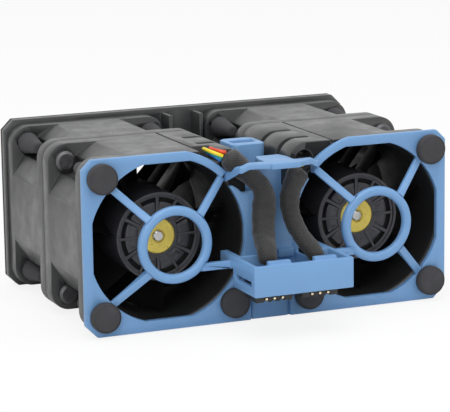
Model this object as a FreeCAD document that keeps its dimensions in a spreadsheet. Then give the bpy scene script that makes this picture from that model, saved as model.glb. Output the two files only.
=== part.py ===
"""Server fan module: two double-stage fans side by side in a bezel and a bracket.

Frame: X across the module, Y with the air flow from the front to the back, Z up. The origin is
on the base plane, under the middle of the module. All lengths are millimetres.

Each stage of a fan is drawn from the seam outwards: local Z runs from the seam to the stage's
outer face. The bezel and the bracket are drawn from the fan's end face outwards. FORWARD and
BACKWARD place such a drawing in the module.
"""
import FreeCAD, Part
import math
import os
import Sketcher
from types import SimpleNamespace

Vector = FreeCAD.Vector
Rotation = FreeCAD.Rotation

SIZES = [
    ("fan_size", 40.0, "edge of the square fan frame"),
    ("fan_pitch", 51.0, "distance between the axes of the two fans"),
    ("stage_depth", 28.0, "depth of one stage of a fan"),
    ("hole_pitch", 32.0, "distance between the corner holes of a fan"),
    ("flange_hole", 2.15, "radius of the holes in the outer flanges"),
    ("screw_hole", 1.55, "radius of the holes in the seam flanges"),
    ("corner_round", 4.5, "corner radius of the flanges"),
    ("corner_pocket", 3.0, "radius of the pocket behind each corner hole"),
    ("outer_flange", 4.6, "thickness of the outer flange"),
    ("seam_flange", 4.2, "thickness of the flange at the seam"),
    ("duct_outer", 21.5, "radius of the duct outside"),
    ("duct_bore", 18.7, "radius of the duct inside"),
    ("mouth_flare", 0.9, "widening of the duct at its mouth"),
    ("mouth_depth", 1.6, "depth of that widening"),
    ("guide_slot", 2.0, "width of the slots in the wire guide"),
    ("guide_start", 11.9, "inner end of the guide's slots from the fan axis"),
    ("guide_cut", 4.0, "depth of the guide's slots"),
    ("guide_edge", 8.6, "outer edge of the wire guide from the fan axis"),
    ("guide_groove", 0.45, "width of the groove beside the wire guide"),
    ("groove_deep", 0.9, "depth of the groove beside the wire guide"),
    ("notch_start", 8.6, "near side of the wire notch from the fan axis"),
    ("notch_wide", 4.8, "width of the wire notch in the outer flange"),
    ("notch_high", 3.0, "height of the wire notch in the outer flange"),
    ("seam_gap", 0.15, "motor base behind the seam"),
    ("base_thick", 2.0, "thickness of the motor base"),
    ("vane_depth", 4.0, "depth of the stator vanes"),
    ("vane_thick", 1.1, "thickness of the stator vanes"),
    ("tube_outer", 3.9, "radius of the bearing tube outside"),
    ("tube_end", 19.0, "end of the bearing tube above the seam"),
    ("hub_outer", 10.4, "radius of the impeller hub"),
    ("hub_wall", 1.2, "wall of the impeller hub"),
    ("hub_start", 5.2, "open end of the hub above the seam"),
    ("hub_face", 23.0, "front face of the hub above the seam"),
    ("hub_front", 1.9, "thickness of the hub front"),
    ("hub_rim", 0.5, "height of the rim on the hub front"),
    ("pocket_deep", 1.1, "depth of the pockets in the hub front"),
    ("rib_thick", 0.8, "ribs between the hub pockets"),
    ("bush_outer", 4.15, "radius of the brass hub bush"),
    ("bush_long", 3.4, "length of the brass hub bush"),
    ("shaft_radius", 1.25, "radius of the shaft"),
    ("shaft_proud", 0.3, "shaft end in front of the hub"),
    ("tip_gap", 0.5, "gap between blade tips and duct"),
    ("blade_low", 6.2, "lower edge of the blades above the seam"),
    ("blade_high", 22.4, "upper edge of the blades above the seam"),
    ("blade_root_sweep", 7.4, "sideways run of a blade at the hub"),
    ("blade_tip_sweep", 11.0, "sideways run of a blade at its tip"),
    ("blade_thick", 1.0, "thickness of a blade in the middle"),
    ("blade_camber", 1.7, "camber of a blade"),
    ("running_fit", 0.03, "radial clearance of fitted round parts"),
    ("yoke_wall", 0.6, "wall of the rotor yoke"),
    ("magnet_wall", 0.9, "wall of the magnet ring"),
    ("magnet_low", 7.0, "lower end of the magnet ring"),
    ("magnet_high", 19.0, "upper end of the magnet ring"),
    ("air_gap", 0.35, "gap between stator and magnet"),
    ("core_low", 8.5, "lower end of the stator core"),
    ("core_high", 16.5, "upper end of the stator core"),
    ("tooth_half", 1.0, "half width of a stator tooth"),
    ("shoe_chord", 6.3, "distance of the pole shoe's flat from the axis"),
    ("coil_thick", 1.1, "thickness of a coil around its tooth"),
    ("board_thick", 1.0, "thickness of the circuit board"),
    ("bearing_wide", 2.5, "width of a ball bearing"),
    ("bearing_shoulder", 1.1, "first bearing above the seam"),
    ("bearing_span", 14.5, "distance between the two bearings"),
    ("clip_thick", 0.35, "thickness of the retaining ring"),
    ("clip_outer", 2.3, "radius of the retaining ring"),
    ("base_drop", 0.85, "fan frames above the base plane"),
    ("bezel_width", 92.0, "width of the bezel"),
    ("bezel_top", 20.4, "top of the bezel above the fan axes"),
    ("bezel_thick", 1.5, "thickness of the bezel plate"),
    ("top_chamfer", 2.3, "chamfer of the outer top corners"),
    ("low_chamfer", 3.0, "chamfer of the outer bottom corners"),
    ("opening_round", 19.1, "radius of the bezel openings"),
    ("opening_flat", 18.2, "straight outer sides of the openings from the axis"),
    ("band_width", 1.9, "band around the inner top of an opening"),
    ("web_left", 6.5, "left edge of the web from the middle"),
    ("web_right", 7.3, "right edge of the web from the middle"),
    ("joint_x", 10.75, "arch joint from the middle"),
    ("guard_outer", 9.0, "outer radius of the guard ring"),
    ("guard_inner", 6.8, "inner radius of the guard ring"),
    ("guard_reach", 5.1, "front of the guard ring before the bezel"),
    ("guard_thick", 1.7, "thickness of the guard ring"),
    ("guard_edge", 0.55, "chamfer of the guard ring's front edges"),
    ("spoke_wide", 1.8, "width of the guard spokes"),
    ("spoke_thick", 1.5, "thickness of the guard spokes"),
    ("horn_x", 9.9, "tip of the horns from the middle"),
    ("horn_top", 11.6, "tip of the horns above the axes"),
    ("notch_low", 9.7, "bottom of the lead notches above the axes"),
    ("post_half", 3.0, "half width of the middle post"),
    ("notch_outer", 8.0, "outer side of the lead notches"),
    ("tab_half", 3.7, "half width of the finger tab"),
    ("tab_reach", 9.8, "front of the finger tab before the bezel"),
    ("tab_top", 17.7, "top of the finger tab above the axes"),
    ("tab_thick", 1.35, "thickness of the finger tab"),
    ("tongue_half", 4.6, "half width of the tongue under the web"),
    ("tongue_top", 16.0, "upper end of the tongue's slits below the axes"),
    ("slit_wide", 0.4, "width of the slits beside the tongue"),
    ("slit_floor", 0.5, "plate left behind the slits"),
    ("tongue_step", 0.5, "tongue behind the bezel's face"),
    ("box_half", 12.35, "half width of the connector box"),
    ("box_reach", 19.0, "front of the connector box before the bezel"),
    ("box_top", 3.6, "top of the connector box below the axes"),
    ("box_low", 10.7, "underside of the connector box below the axes"),
    ("box_wall", 1.2, "walls of the connector box"),
    ("box_back", 6.5, "back of the connector box before the bezel"),
    ("neck_half", 7.3, "half width of the neck between box and web"),
    ("neck_top", 5.6, "top of the neck's walls below the axes"),
    ("arm_low", 6.5, "underside of the box's arms below the axes"),
    ("arm_wide", 2.0, "width of the box's arms"),
    ("lip_high", 0.7, "height of the lips above the box"),
    ("lip_half", 2.8, "half width of a lip"),
    ("clip_reach", 1.7, "lead clip in front of the web"),
    ("spine_half", 1.0, "half thickness of the spine between the fans"),
    ("spine_reach", 19.5, "end of the spine behind the fans' front face"),
    ("block_half", 4.2, "half width of the block between the fans"),
    ("block_deep", 9.6, "depth of the block"),
    ("block_chamfer", 1.2, "chamfer of the block's upright edges"),
    ("hollow_deep", 3.6, "front to back of the block's hollow"),
    ("block_top", 18.7, "top of the block above the axes"),
    ("block_wall", 1.4, "walls beside the block's hollow"),
    ("bracket_width", 92.0, "width of the rear bracket"),
    ("bracket_top", 21.0, "top of the rear bracket above the axes"),
    ("bracket_thick", 2.0, "thickness of the rear bracket"),
    ("bracket_round", 19.2, "radius of the bracket openings"),
    ("bracket_chamfer", 2.6, "chamfer of the bracket's corners"),
    ("bracket_rib_x", 4.6, "outer face of the bracket's ribs"),
    ("bracket_rib_reach", 6.0, "ribs of the bracket into the gap"),
    ("gasket_thick", 1.0, "thickness of the gasket"),
    ("gasket_wide", 0.8, "width of the gasket"),
    ("plug_head", 3.55, "radius of an isolator's head"),
    ("plug_head_thick", 2.2, "thickness of an isolator's head"),
    ("plug_play", 0.05, "isolator neck in its hole"),
    ("plug_bulge", 2.6, "radius of the isolator behind the flange"),
    ("plug_tail", 9.0, "length of the isolator's tail"),
    ("plug_tip", 1.3, "radius of the tail's end"),
    ("screw_radius", 1.45, "radius of the coupling screws"),
    ("screw_head", 2.4, "radius of the coupling screws' heads"),
    ("screw_head_thick", 1.6, "thickness of the coupling screws' heads"),
    ("plug_wide", 9.0, "width of a connector housing"),
    ("plug_back", 2.7, "connector housing behind the box's front wall"),
    ("plug_deep", 6.4, "depth of a connector housing"),
    ("plug_x", 5.7, "middle of a connector housing from the middle"),
    ("plug_drop", 2.3, "connector housing below the box"),
    ("plug_height", 6.8, "height of a connector housing"),
    ("plug_seat", 0.3, "gap between connector housing and box"),
    ("contact_pitch", 2.0, "distance between contacts"),
    ("contact_wide", 0.7, "width of a contact"),
    ("contact_show", 0.9, "length of a contact below the box"),
    ("lead_radius", 2.3, "radius of a sleeved lead"),
    ("wire_radius", 0.42, "radius of a bare wire"),
]

doc = FreeCAD.newDocument("ServerFanModule")


class Size:
    """A length together with the spreadsheet expression that gives it."""

    def __init__(self, value, text):
        self.value = value
        self.text = text

    def joined(self, sign, other, value):
        return Size(value, "(%s %s %s)" % (self.text, sign, other.text))

    def __add__(self, other):
        other = as_size(other)
        return self.joined("+", other, self.value + other.value)

    def __sub__(self, other):
        other = as_size(other)
        return self.joined("-", other, self.value - other.value)

    def __mul__(self, other):
        other = as_size(other)
        return self.joined("*", other, self.value * other.value)

    def __truediv__(self, other):
        other = as_size(other)
        return self.joined("/", other, self.value / other.value)

    def __neg__(self):
        return as_size(0) - self

    def __radd__(self, other):
        return as_size(other) + self

    def __rsub__(self, other):
        return as_size(other) - self

    def __rmul__(self, other):
        return as_size(other) * self


def as_size(number):
    """Take a Size as it is and wrap a plain number."""
    if isinstance(number, Size):
        return number
    return Size(float(number), "%.6f" % number)


def leg(hypotenuse, other_leg):
    """The second leg of a right triangle."""
    hypotenuse = as_size(hypotenuse)
    other_leg = as_size(other_leg)
    value = math.sqrt(hypotenuse.value ** 2 - other_leg.value ** 2)
    return Size(value, "sqrt(%s ^ 2 - %s ^ 2)" % (hypotenuse.text, other_leg.text))


def make_sheet():
    """Fill the spreadsheet and return its cells as named sizes."""
    sheet = doc.addObject("Spreadsheet::Sheet", "Sizes")
    cells = {}
    for row, (name, value, note) in enumerate(SIZES, start=1):
        sheet.set("A%d" % row, note)
        sheet.set("B%d" % row, str(value))
        sheet.setAlias("B%d" % row, name)
        cells[name] = Size(value, "Sizes." + name)
    doc.recompute()
    return SimpleNamespace(**cells)


d = make_sheet()

# Sizes that follow from the driving ones.
FAN_HALF = d.fan_size / 2
FAN_X = d.fan_pitch / 2
HOLE = d.hole_pitch / 2
AXIS_Z = FAN_HALF + d.base_drop
REAR_REACH = d.stage_depth * 2 + d.bracket_thick + d.plug_head_thick
FAN_FRONT_Y = (d.box_reach + d.bezel_thick - REAR_REACH) / 2
SEAM_Y = FAN_FRONT_Y + d.stage_depth
FAN_REAR_Y = SEAM_Y + d.stage_depth
CORNERS = [(-1, -1), (1, -1), (1, 1), (-1, 1)]
SIDES = {"left": -1, "right": 1}

FORWARD = Rotation(Vector(1, 0, 0), 90)
BACKWARD = Rotation(Vector(0, 0, 1), 180) * FORWARD


# ---- building helpers ---------------------------------------------------------------------

def bind(thing, path, size):
    """Tie a property to its expression."""
    thing.setExpression(path, as_size(size).text)


def new_body(name):
    body = doc.addObject("PartDesign::Body", name)
    body.Label = name
    return body


def place(thing, rotation=Rotation(), x=0, y=0, z=0):
    """Set a turn and tie the position to the sheet."""
    thing.Placement = FreeCAD.Placement(Vector(0, 0, 0), rotation)
    for axis, size in (("x", x), ("y", y), ("z", z)):
        bind(thing, "Placement.Base." + axis, size)
    return thing


def new_sketch(body, name, role="XY_Plane", lift=0, turn=None, x=0, y=0):
    """A sketch on one of the body's origin planes, lifted, shifted or turned from it."""
    sketch = body.newObject("Sketcher::SketchObject", name)
    plane = next(item for item in body.Origin.OriginFeatures if item.Role == role)
    sketch.AttachmentSupport = [(plane, "")]
    sketch.MapMode = "FlatFace"
    if turn is not None:
        sketch.AttachmentOffset = FreeCAD.Placement(Vector(0, 0, 0), turn)
    for axis, size in (("x", x), ("y", y), ("z", lift)):
        bind(sketch, "AttachmentOffset.Base." + axis, size)
    return sketch


def limit(sketch, size, *constraint):
    """Add a dimension that follows its expression."""
    index = sketch.addConstraint(Sketcher.Constraint(*constraint, size.value))
    sketch.setExpression("Constraints[%d]" % index, size.text)


def pin(sketch, geometry, point, x, y):
    """Hold a sketch point at its distances from the sketch's origin."""
    limit(sketch, as_size(x), "DistanceX", -1, 1, geometry, point)
    limit(sketch, as_size(y), "DistanceY", -1, 1, geometry, point)


def circle(sketch, radius, x=0, y=0):
    radius = as_size(radius)
    centre = Vector(as_size(x).value, as_size(y).value, 0)
    geometry = sketch.addGeometry(Part.Circle(centre, Vector(0, 0, 1), radius.value), False)
    limit(sketch, radius, "Radius", geometry)
    pin(sketch, geometry, 3, x, y)


def arc_between(start, end, radius):
    """The short arc from start to end, turning left for a positive radius."""
    chord = end - start
    middle = (start + end) * 0.5
    rise = math.sqrt(max(radius ** 2 - chord.Length ** 2 / 4, 0))
    left = Vector(-chord.y, chord.x, 0).normalize()
    centre = middle + left * math.copysign(rise, radius)
    first, last = (start, end) if radius > 0 else (end, start)
    angles = [math.atan2(point.y - centre.y, point.x - centre.x) for point in (first, last)]
    whole = Part.Circle(centre, Vector(0, 0, 1), abs(radius))
    return Part.ArcOfCircle(whole, angles[0], angles[1])


def outline(sketch, corners):
    """A closed loop through (x, y) corners; a third value makes the edge that follows an arc."""
    corners = [tuple(as_size(value) for value in corner) for corner in corners]
    places = [Vector(corner[0].value, corner[1].value, 0) for corner in corners]
    edges = []
    for index, corner in enumerate(corners):
        start, end = places[index], places[(index + 1) % len(places)]
        if len(corner) == 2:
            geometry = sketch.addGeometry(Part.LineSegment(start, end), False)
            edges.append((geometry, 1, 2))
            continue
        geometry = sketch.addGeometry(arc_between(start, end, corner[2].value), False)
        edges.append((geometry, 1, 2) if corner[2].value > 0 else (geometry, 2, 1))
    for index, (geometry, first, last) in enumerate(edges):
        following = edges[(index + 1) % len(edges)]
        sketch.addConstraint(Sketcher.Constraint("Coincident", geometry, last, *following[:2]))
        pin(sketch, geometry, first, *corners[index][:2])
        if len(corners[index]) == 3:
            radius = corners[index][2]
            limit(sketch, radius if radius.value > 0 else -radius, "Radius", geometry)


def rectangle(sketch, x_low, x_high, y_low, y_high):
    outline(sketch, [(x_low, y_low), (x_high, y_low), (x_high, y_high), (x_low, y_high)])


def clipped_circle(sketch, radius, flat, x=0, left=None, right=None):
    """A circle cut off by four straight sides; left and right may lie nearer or farther."""
    x, left, right = as_size(x), left or flat, right or flat
    low, left_low, right_low = leg(radius, flat), leg(radius, left), leg(radius, right)
    outline(sketch, [(x + right, -right_low), (x + right, right_low, radius), (x + low, flat),
                     (x - low, flat, radius), (x - left, left_low), (x - left, -left_low, radius),
                     (x - low, -flat), (x + low, -flat, radius)])


def rounded_square(sketch, half, radius):
    inner = half - radius
    outline(sketch, [(half, -inner), (half, inner, radius), (inner, half), (-inner, half, radius),
                     (-half, inner), (-half, -inner, radius), (-inner, -half),
                     (inner, -half, radius)])


def feature(body, kind, name, profile, length=None, reverse=False, middle=False):
    """A pad or pocket of a sketch."""
    made = body.newObject("PartDesign::" + kind, name)
    made.Profile = profile
    if length is not None:
        bind(made, "Length", length)
    made.Reversed = reverse
    if middle:
        made.SideType = "Symmetric"
    return made


def pad(body, name, profile, length, reverse=False, middle=False):
    return feature(body, "Pad", name, profile, length, reverse, middle)


def pocket(body, name, profile, length, reverse=False, middle=False):
    """Cut a sketch out of a body and make sure that it removes material."""
    doc.recompute()
    before = body.Shape.Volume
    made = feature(body, "Pocket", name, profile, length, reverse, middle)
    doc.recompute()
    if body.Shape.Volume > before - 1e-6:
        raise RuntimeError("%s of %s cuts nothing" % (name, body.Label))
    return made


def revolve(body, name, profile, kind="Revolution", x=0):
    """Turn a profile of (radius, height) corners about the body's Z axis, or one beside it."""
    sketch = new_sketch(body, name + "Profile", "XZ_Plane", x=x)
    outline(sketch, profile)
    made = body.newObject("PartDesign::" + kind, name)
    made.Profile = sketch
    made.ReferenceAxis = (sketch, ["V_Axis"])
    made.Angle = 360
    return made


def around(body, name, original, count):
    """Repeat a feature around the body's Z axis."""
    axis = next(item for item in body.Origin.OriginFeatures if item.Role == "Z_Axis")
    made = body.newObject("PartDesign::PolarPattern", name)
    made.Originals = [original]
    made.Axis = (axis, [""])
    made.Angle = 360
    made.Occurrences = count
    body.Tip = made
    return made


def ring_body(name, inner, outer, low, high):
    """A plain turned ring."""
    body = new_body(name)
    revolve(body, "Ring", [(inner, low), (outer, low), (outer, high), (inner, high)])
    return body


def group(name, members):
    """Several equal pieces that share one node."""
    made = doc.addObject("Part::Compound", name)
    made.Label = name
    made.Links = members
    return made


# ---- fan stage: fixed parts ----------------------------------------------------------------

def stage_frame(name, guide_side):
    """Square flanges joined by a round duct, with vanes that carry motor base and tube.

    guide_side is the side of the top corner that holds the wire guide, or 0 for none.
    """
    body = new_body(name)
    duct = new_sketch(body, "DuctOutline")
    clipped_circle(duct, d.duct_outer, FAN_HALF)
    pad(body, "Duct", duct, d.stage_depth)
    for label, lift, thick in (("Seam", 0, d.seam_flange),
                               ("Outer", d.stage_depth - d.outer_flange, d.outer_flange)):
        flange = new_sketch(body, label + "FlangeOutline", lift=lift)
        rounded_square(flange, FAN_HALF, d.corner_round)
        pad(body, label + "Flange", flange, thick)
    if guide_side:
        wire_guide(body, guide_side)
    flange_holes(body, guide_side)
    bore = new_sketch(body, "BoreCircle", lift=d.stage_depth)
    circle(bore, d.duct_bore)
    pocket(body, "Bore", bore, d.stage_depth)
    revolve(body, "Mouth", [(d.duct_bore, d.stage_depth - d.mouth_depth),
                            (d.duct_bore + d.mouth_flare, d.stage_depth),
                            (d.duct_bore, d.stage_depth)], "Groove")
    motor_base(body)
    return body


GUIDE_SLOTS = {-1: (0.40, 0.757), 1: (0.34, 0.65)}


def wire_guide(body, side):
    """Close one top corner between the flanges and slit it for the wires."""
    inner = leg(d.duct_outer, FAN_HALF) - 0.5
    corner = new_sketch(body, "GuideOutline")
    start, end = (inner, FAN_HALF) if side > 0 else (-FAN_HALF, -inner)
    near, far = (start, end - d.corner_round) if side > 0 else (start + d.corner_round, end)
    if side > 0:
        outline(corner, [(start, inner), (end, inner), (end, FAN_HALF - d.corner_round,
                d.corner_round), (far, FAN_HALF), (start, FAN_HALF)])
    else:
        outline(corner, [(start, inner), (end, inner), (end, FAN_HALF), (near, FAN_HALF,
                d.corner_round), (start, FAN_HALF - d.corner_round)])
    pad(body, "Guide", corner, d.stage_depth)
    low, high = (d.guide_start, FAN_HALF) if side > 0 else (-FAN_HALF, -d.guide_start)
    for index, share in enumerate(GUIDE_SLOTS[side]):
        slot = new_sketch(body, "SlotOutline%d" % index, "XZ_Plane", lift=-FAN_HALF)
        middle = d.stage_depth * share
        rectangle(slot, low, high, middle - d.guide_slot / 2, middle + d.guide_slot / 2)
        pocket(body, "GuideSlot%d" % index, slot, d.guide_cut, reverse=True)
    groove = new_sketch(body, "GrooveOutline", lift=d.stage_depth)
    low = d.guide_edge if side > 0 else -d.guide_edge - d.guide_groove
    rectangle(groove, low, low + d.guide_groove, FAN_HALF - d.groove_deep, FAN_HALF)
    pocket(body, "GuideGroove", groove, d.stage_depth)
    if side > 0:
        notch = new_sketch(body, "NotchOutline", lift=d.stage_depth)
        rectangle(notch, d.notch_start, d.notch_start + d.notch_wide, FAN_HALF - d.notch_high,
                  FAN_HALF)
        pocket(body, "WireNotch", notch, d.outer_flange + 2)


def flange_holes(body, guide_side):
    """Corner holes: wide in the outer flange, screw size at the seam, a pocket between."""
    span = d.stage_depth - d.outer_flange
    for index, (x_sign, y_sign) in enumerate(CORNERS):
        x, y = HOLE * x_sign, HOLE * y_sign
        outer = new_sketch(body, "HoleCircle%d" % index, lift=d.stage_depth)
        circle(outer, d.flange_hole, x, y)
        if guide_side and (x_sign, y_sign) == (guide_side, 1):
            pocket(body, "Channel%d" % index, outer, d.stage_depth)
            continue
        pocket(body, "Hole%d" % index, outer, d.outer_flange)
        room = new_sketch(body, "PocketCircle%d" % index, lift=span)
        circle(room, d.corner_pocket, x, y)
        pocket(body, "CornerPocket%d" % index, room, span - d.seam_flange)
        screw = new_sketch(body, "ScrewCircle%d" % index, lift=d.seam_flange)
        circle(screw, d.screw_hole, x, y)
        pocket(body, "ScrewHole%d" % index, screw, d.seam_flange)


def motor_base(body):
    """Vanes, motor base and bearing tube inside the duct."""
    vane = new_sketch(body, "VaneOutline", lift=d.seam_gap)
    rectangle(vane, d.hub_outer - d.hub_wall / 2, d.duct_bore + 0.5, -d.vane_thick / 2, d.vane_thick / 2)
    around(body, "Vanes", pad(body, "Vane", vane, d.vane_depth), 7)
    low, high = d.seam_gap, d.seam_gap + d.base_thick
    edge = d.hub_outer
    revolve(body, "MotorBase", [(0, low), (edge, low), (edge, d.seam_gap + d.vane_depth),
                                (edge - d.hub_wall, d.seam_gap + d.vane_depth),
                                (edge - d.hub_wall, high), (d.tube_outer, high),
                                (d.tube_outer, d.tube_end), (0, d.tube_end)])
    bore = new_sketch(body, "BearingCircle", lift=d.tube_end)
    circle(bore, d.tube_outer - d.hub_wall * 0.7)
    pocket(body, "BearingBore", bore, d.tube_end)


def stator_core(name):
    """Laminated core: a ring on the bearing tube with four teeth."""
    body = new_body(name)
    inner = d.tube_outer + d.running_fit
    reach = STATOR_OUTER
    ring = new_sketch(body, "RingOutline", lift=d.core_low)
    circle(ring, inner + 0.9)
    circle(ring, inner)
    pad(body, "Ring", ring, d.core_high - d.core_low)
    half_chord = leg(reach, d.shoe_chord)
    tooth = new_sketch(body, "ToothOutline", lift=d.core_low)
    outline(tooth, [(inner + 0.5, -d.tooth_half), (d.shoe_chord, -d.tooth_half),
                    (d.shoe_chord, -half_chord, reach), (d.shoe_chord, half_chord),
                    (d.shoe_chord, d.tooth_half), (inner + 0.5, d.tooth_half)])
    around(body, "Teeth", pad(body, "Tooth", tooth, d.core_high - d.core_low), 4)
    return body


def coil_set(name):
    """Four windings, one around each stator tooth."""
    members = []
    inner = d.tube_outer + d.running_fit + 1.0
    for index in range(4):
        body = new_body("%s_%d" % (name, index + 1))
        winding = new_sketch(body, "Winding", "YZ_Plane", lift=inner)
        for extra in (d.coil_thick, as_size(0.05)):
            half = d.tooth_half + extra
            rectangle(winding, -half, half, d.core_low - extra, d.core_high + extra)
        pad(body, "Coil", winding, d.shoe_chord - 0.1 - inner)
        body.Placement = FreeCAD.Placement(Vector(), Rotation(Vector(0, 0, 1), 90 * index))
        members.append(body)
    return group(name, members)


def bearing_pair(name):
    """Two ball bearings in the bearing tube, drawn as closed rings."""
    inner = d.shaft_radius + d.running_fit
    outer = d.tube_outer - d.hub_wall * 0.7 - d.running_fit
    members = []
    for index in range(2):
        low = d.bearing_shoulder + d.bearing_span * index
        members.append(ring_body("%s_%d" % (name, index + 1), inner, outer, low,
                                 low + d.bearing_wide))
    return group(name, members)


# ---- fan stage: turning parts --------------------------------------------------------------

YOKE_OUTER = d.hub_outer - d.hub_wall - d.running_fit
YOKE_INNER = YOKE_OUTER - d.yoke_wall
MAGNET_OUTER = YOKE_INNER - d.running_fit
MAGNET_INNER = MAGNET_OUTER - d.magnet_wall
STATOR_OUTER = MAGNET_INNER - d.air_gap
HUB_INSIDE = d.hub_face - d.hub_front


def impeller(name, blades, hand):
    """Hub with ribbed front and twisted blades; hand +1 or -1 sets the blades' lean."""
    body = new_body(name)
    hole = d.bush_outer + d.running_fit
    wall = d.hub_outer - d.hub_wall
    rim = d.hub_face + d.hub_rim
    revolve(body, "Hub", [(hole, HUB_INSIDE), (wall, HUB_INSIDE), (wall, d.hub_start),
                          (d.hub_outer, d.hub_start), (d.hub_outer, rim),
                          (d.hub_outer - 0.7, rim), (d.hub_outer - 0.7, d.hub_face),
                          (hole, d.hub_face)])
    doc.recompute()
    add_blades(body, blades, hand)
    hub_pockets(body)
    return body


def hub_pockets(body):
    """Six pockets between ribs in the hub front."""
    inner, outer = d.bush_outer + 1.0, d.hub_outer - 1.3
    sketch = new_sketch(body, "PocketOutline", lift=d.hub_face)
    cosine, sine = math.cos(math.radians(30)), math.sin(math.radians(30))
    rib = d.rib_thick / 2
    near, far = leg(inner, rib), leg(outer, rib)
    # The sides run parallel to ribs at 30 degrees each side of the pocket's middle.
    outline(sketch, [(near * cosine + rib * sine, rib * cosine - near * sine),
                     (far * cosine + rib * sine, rib * cosine - far * sine, outer),
                     (far * cosine + rib * sine, far * sine - rib * cosine),
                     (near * cosine + rib * sine, near * sine - rib * cosine, -inner)])
    cut = pocket(body, "HubPocket", sketch, d.pocket_deep)
    around(body, "HubPockets", cut, 6)


def add_blades(body, count, hand):
    """Loft one cambered blade from the hub to past the tip, repeat it and trim the tips."""
    root = d.hub_outer - d.hub_wall * 0.8
    tip = d.duct_bore - d.tip_gap
    sections = []
    for label, radius, sweep in (("Root", root, d.blade_root_sweep),
                                 ("Tip", tip + 0.6, d.blade_tip_sweep)):
        section = new_sketch(body, label + "Section", "YZ_Plane", lift=radius)
        blade_section(section, sweep * hand)
        sections.append(section)
    blade = body.newObject("PartDesign::AdditiveLoft", "Blade")
    blade.Profile = sections[0]
    blade.Sections = sections[1:]
    blade.Ruled = True
    around(body, "Blades", blade, count)
    revolve(body, "TipTrim", [(tip, d.blade_low - 1), (tip + 5, d.blade_low - 1),
                              (tip + 5, d.blade_high + 1), (tip, d.blade_high + 1)], "Groove")


def blade_section(sketch, sweep):
    """Two arcs through the ends of the blade: the hollow side and the full side."""
    half = sweep / 2
    low, high = as_size(d.blade_low), as_size(d.blade_high)
    rise = high - low
    chord = math.hypot(sweep.value, rise.value)
    chord = Size(chord, "sqrt(%s ^ 2 + %s ^ 2)" % (sweep.text, rise.text))
    radii = []
    for bulge in (d.blade_camber + d.blade_thick, d.blade_camber):
        radii.append((chord * chord / 4 + bulge * bulge) / (bulge * 2))
    turn = 1 if sweep.value > 0 else -1
    outline(sketch, [(-half, low, radii[0] * turn), (half, high, radii[1] * -turn)])


def rotor_pieces():
    """The small pieces that turn with one shaft."""
    shaft_end = d.hub_face + d.shaft_proud
    clip_low = d.bearing_shoulder - 0.1 - d.clip_thick
    neck = d.shaft_radius - 0.25
    shaft = new_body("shaft_drawing")
    revolve(shaft, "Turned", [(0, clip_low - 0.25), (d.shaft_radius, clip_low - 0.25),
                              (d.shaft_radius, clip_low - 0.02), (neck, clip_low - 0.02),
                              (neck, clip_low + d.clip_thick + 0.02),
                              (d.shaft_radius, clip_low + d.clip_thick + 0.02),
                              (d.shaft_radius, shaft_end - 0.2),
                              (d.shaft_radius - 0.2, shaft_end), (0, shaft_end)])
    bush = new_body("bush_drawing")
    bore = d.shaft_radius + d.running_fit / 2
    top = d.hub_face + 0.1
    revolve(bush, "Turned", [(bore, top - d.bush_long), (d.bush_outer, top - d.bush_long),
                             (d.bush_outer, top - 0.3), (d.bush_outer - 0.3, top),
                             (bore + 0.4, top), (bore + 0.4, top - 0.4), (bore, top - 0.4)])
    yoke = new_body("yoke_drawing")
    top = HUB_INSIDE - 0.05
    low = d.magnet_low - 0.6
    hole = d.bush_outer + d.running_fit
    revolve(yoke, "Cup", [(hole, top - d.yoke_wall), (YOKE_INNER, top - d.yoke_wall),
                          (YOKE_INNER, low), (YOKE_OUTER, low), (YOKE_OUTER, top),
                          (hole, top)])
    return {
        "shaft": shaft,
        "hub_bush": bush,
        "rotor_yoke": yoke,
        "magnet_ring": ring_body("magnet_drawing", MAGNET_INNER, MAGNET_OUTER, d.magnet_low,
                                 d.magnet_high),
        "retaining_ring": ring_body("clip_drawing", neck + 0.02, d.clip_outer, clip_low,
                                    clip_low + d.clip_thick),
    }


def motor_pieces():
    """The pieces that all four stages share, drawn once."""
    board_low = d.seam_gap + d.base_thick + 0.05
    pieces = {
        "stator_core": stator_core("core_drawing"),
        "coils": coil_set("coil_drawing"),
        "bearings": bearing_pair("bearing_drawing"),
        "circuit_board": ring_body("board_drawing", d.tube_outer + 0.1,
                                   d.hub_outer - d.hub_wall - 0.1, board_low,
                                   board_low + d.board_thick),
    }
    pieces.update(rotor_pieces())
    return pieces


def stage(prefix, side, rotation, drawings):
    """One complete stage of a fan: every drawing set on the fan's axis."""
    pieces = []
    for part_name, drawing in drawings.items():
        piece = group("%s_%s" % (prefix, part_name), [drawing])
        pieces.append(place(piece, rotation, FAN_X * side, SEAM_Y, AXIS_Z))
    return pieces


# ---- bezel ---------------------------------------------------------------------------------

def front_bezel(name):
    """Blue moulding: plate, guards, arch, web, block and connector box."""
    body = new_body(name)
    bezel_plate(body)
    for side in SIDES.values():
        guard(body, side)
        arch_limb(body, side)
    finger_tab(body)
    spine_and_block(body)
    connector_box(body)
    return place(body, FORWARD, 0, FAN_FRONT_Y, AXIS_Z)


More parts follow.
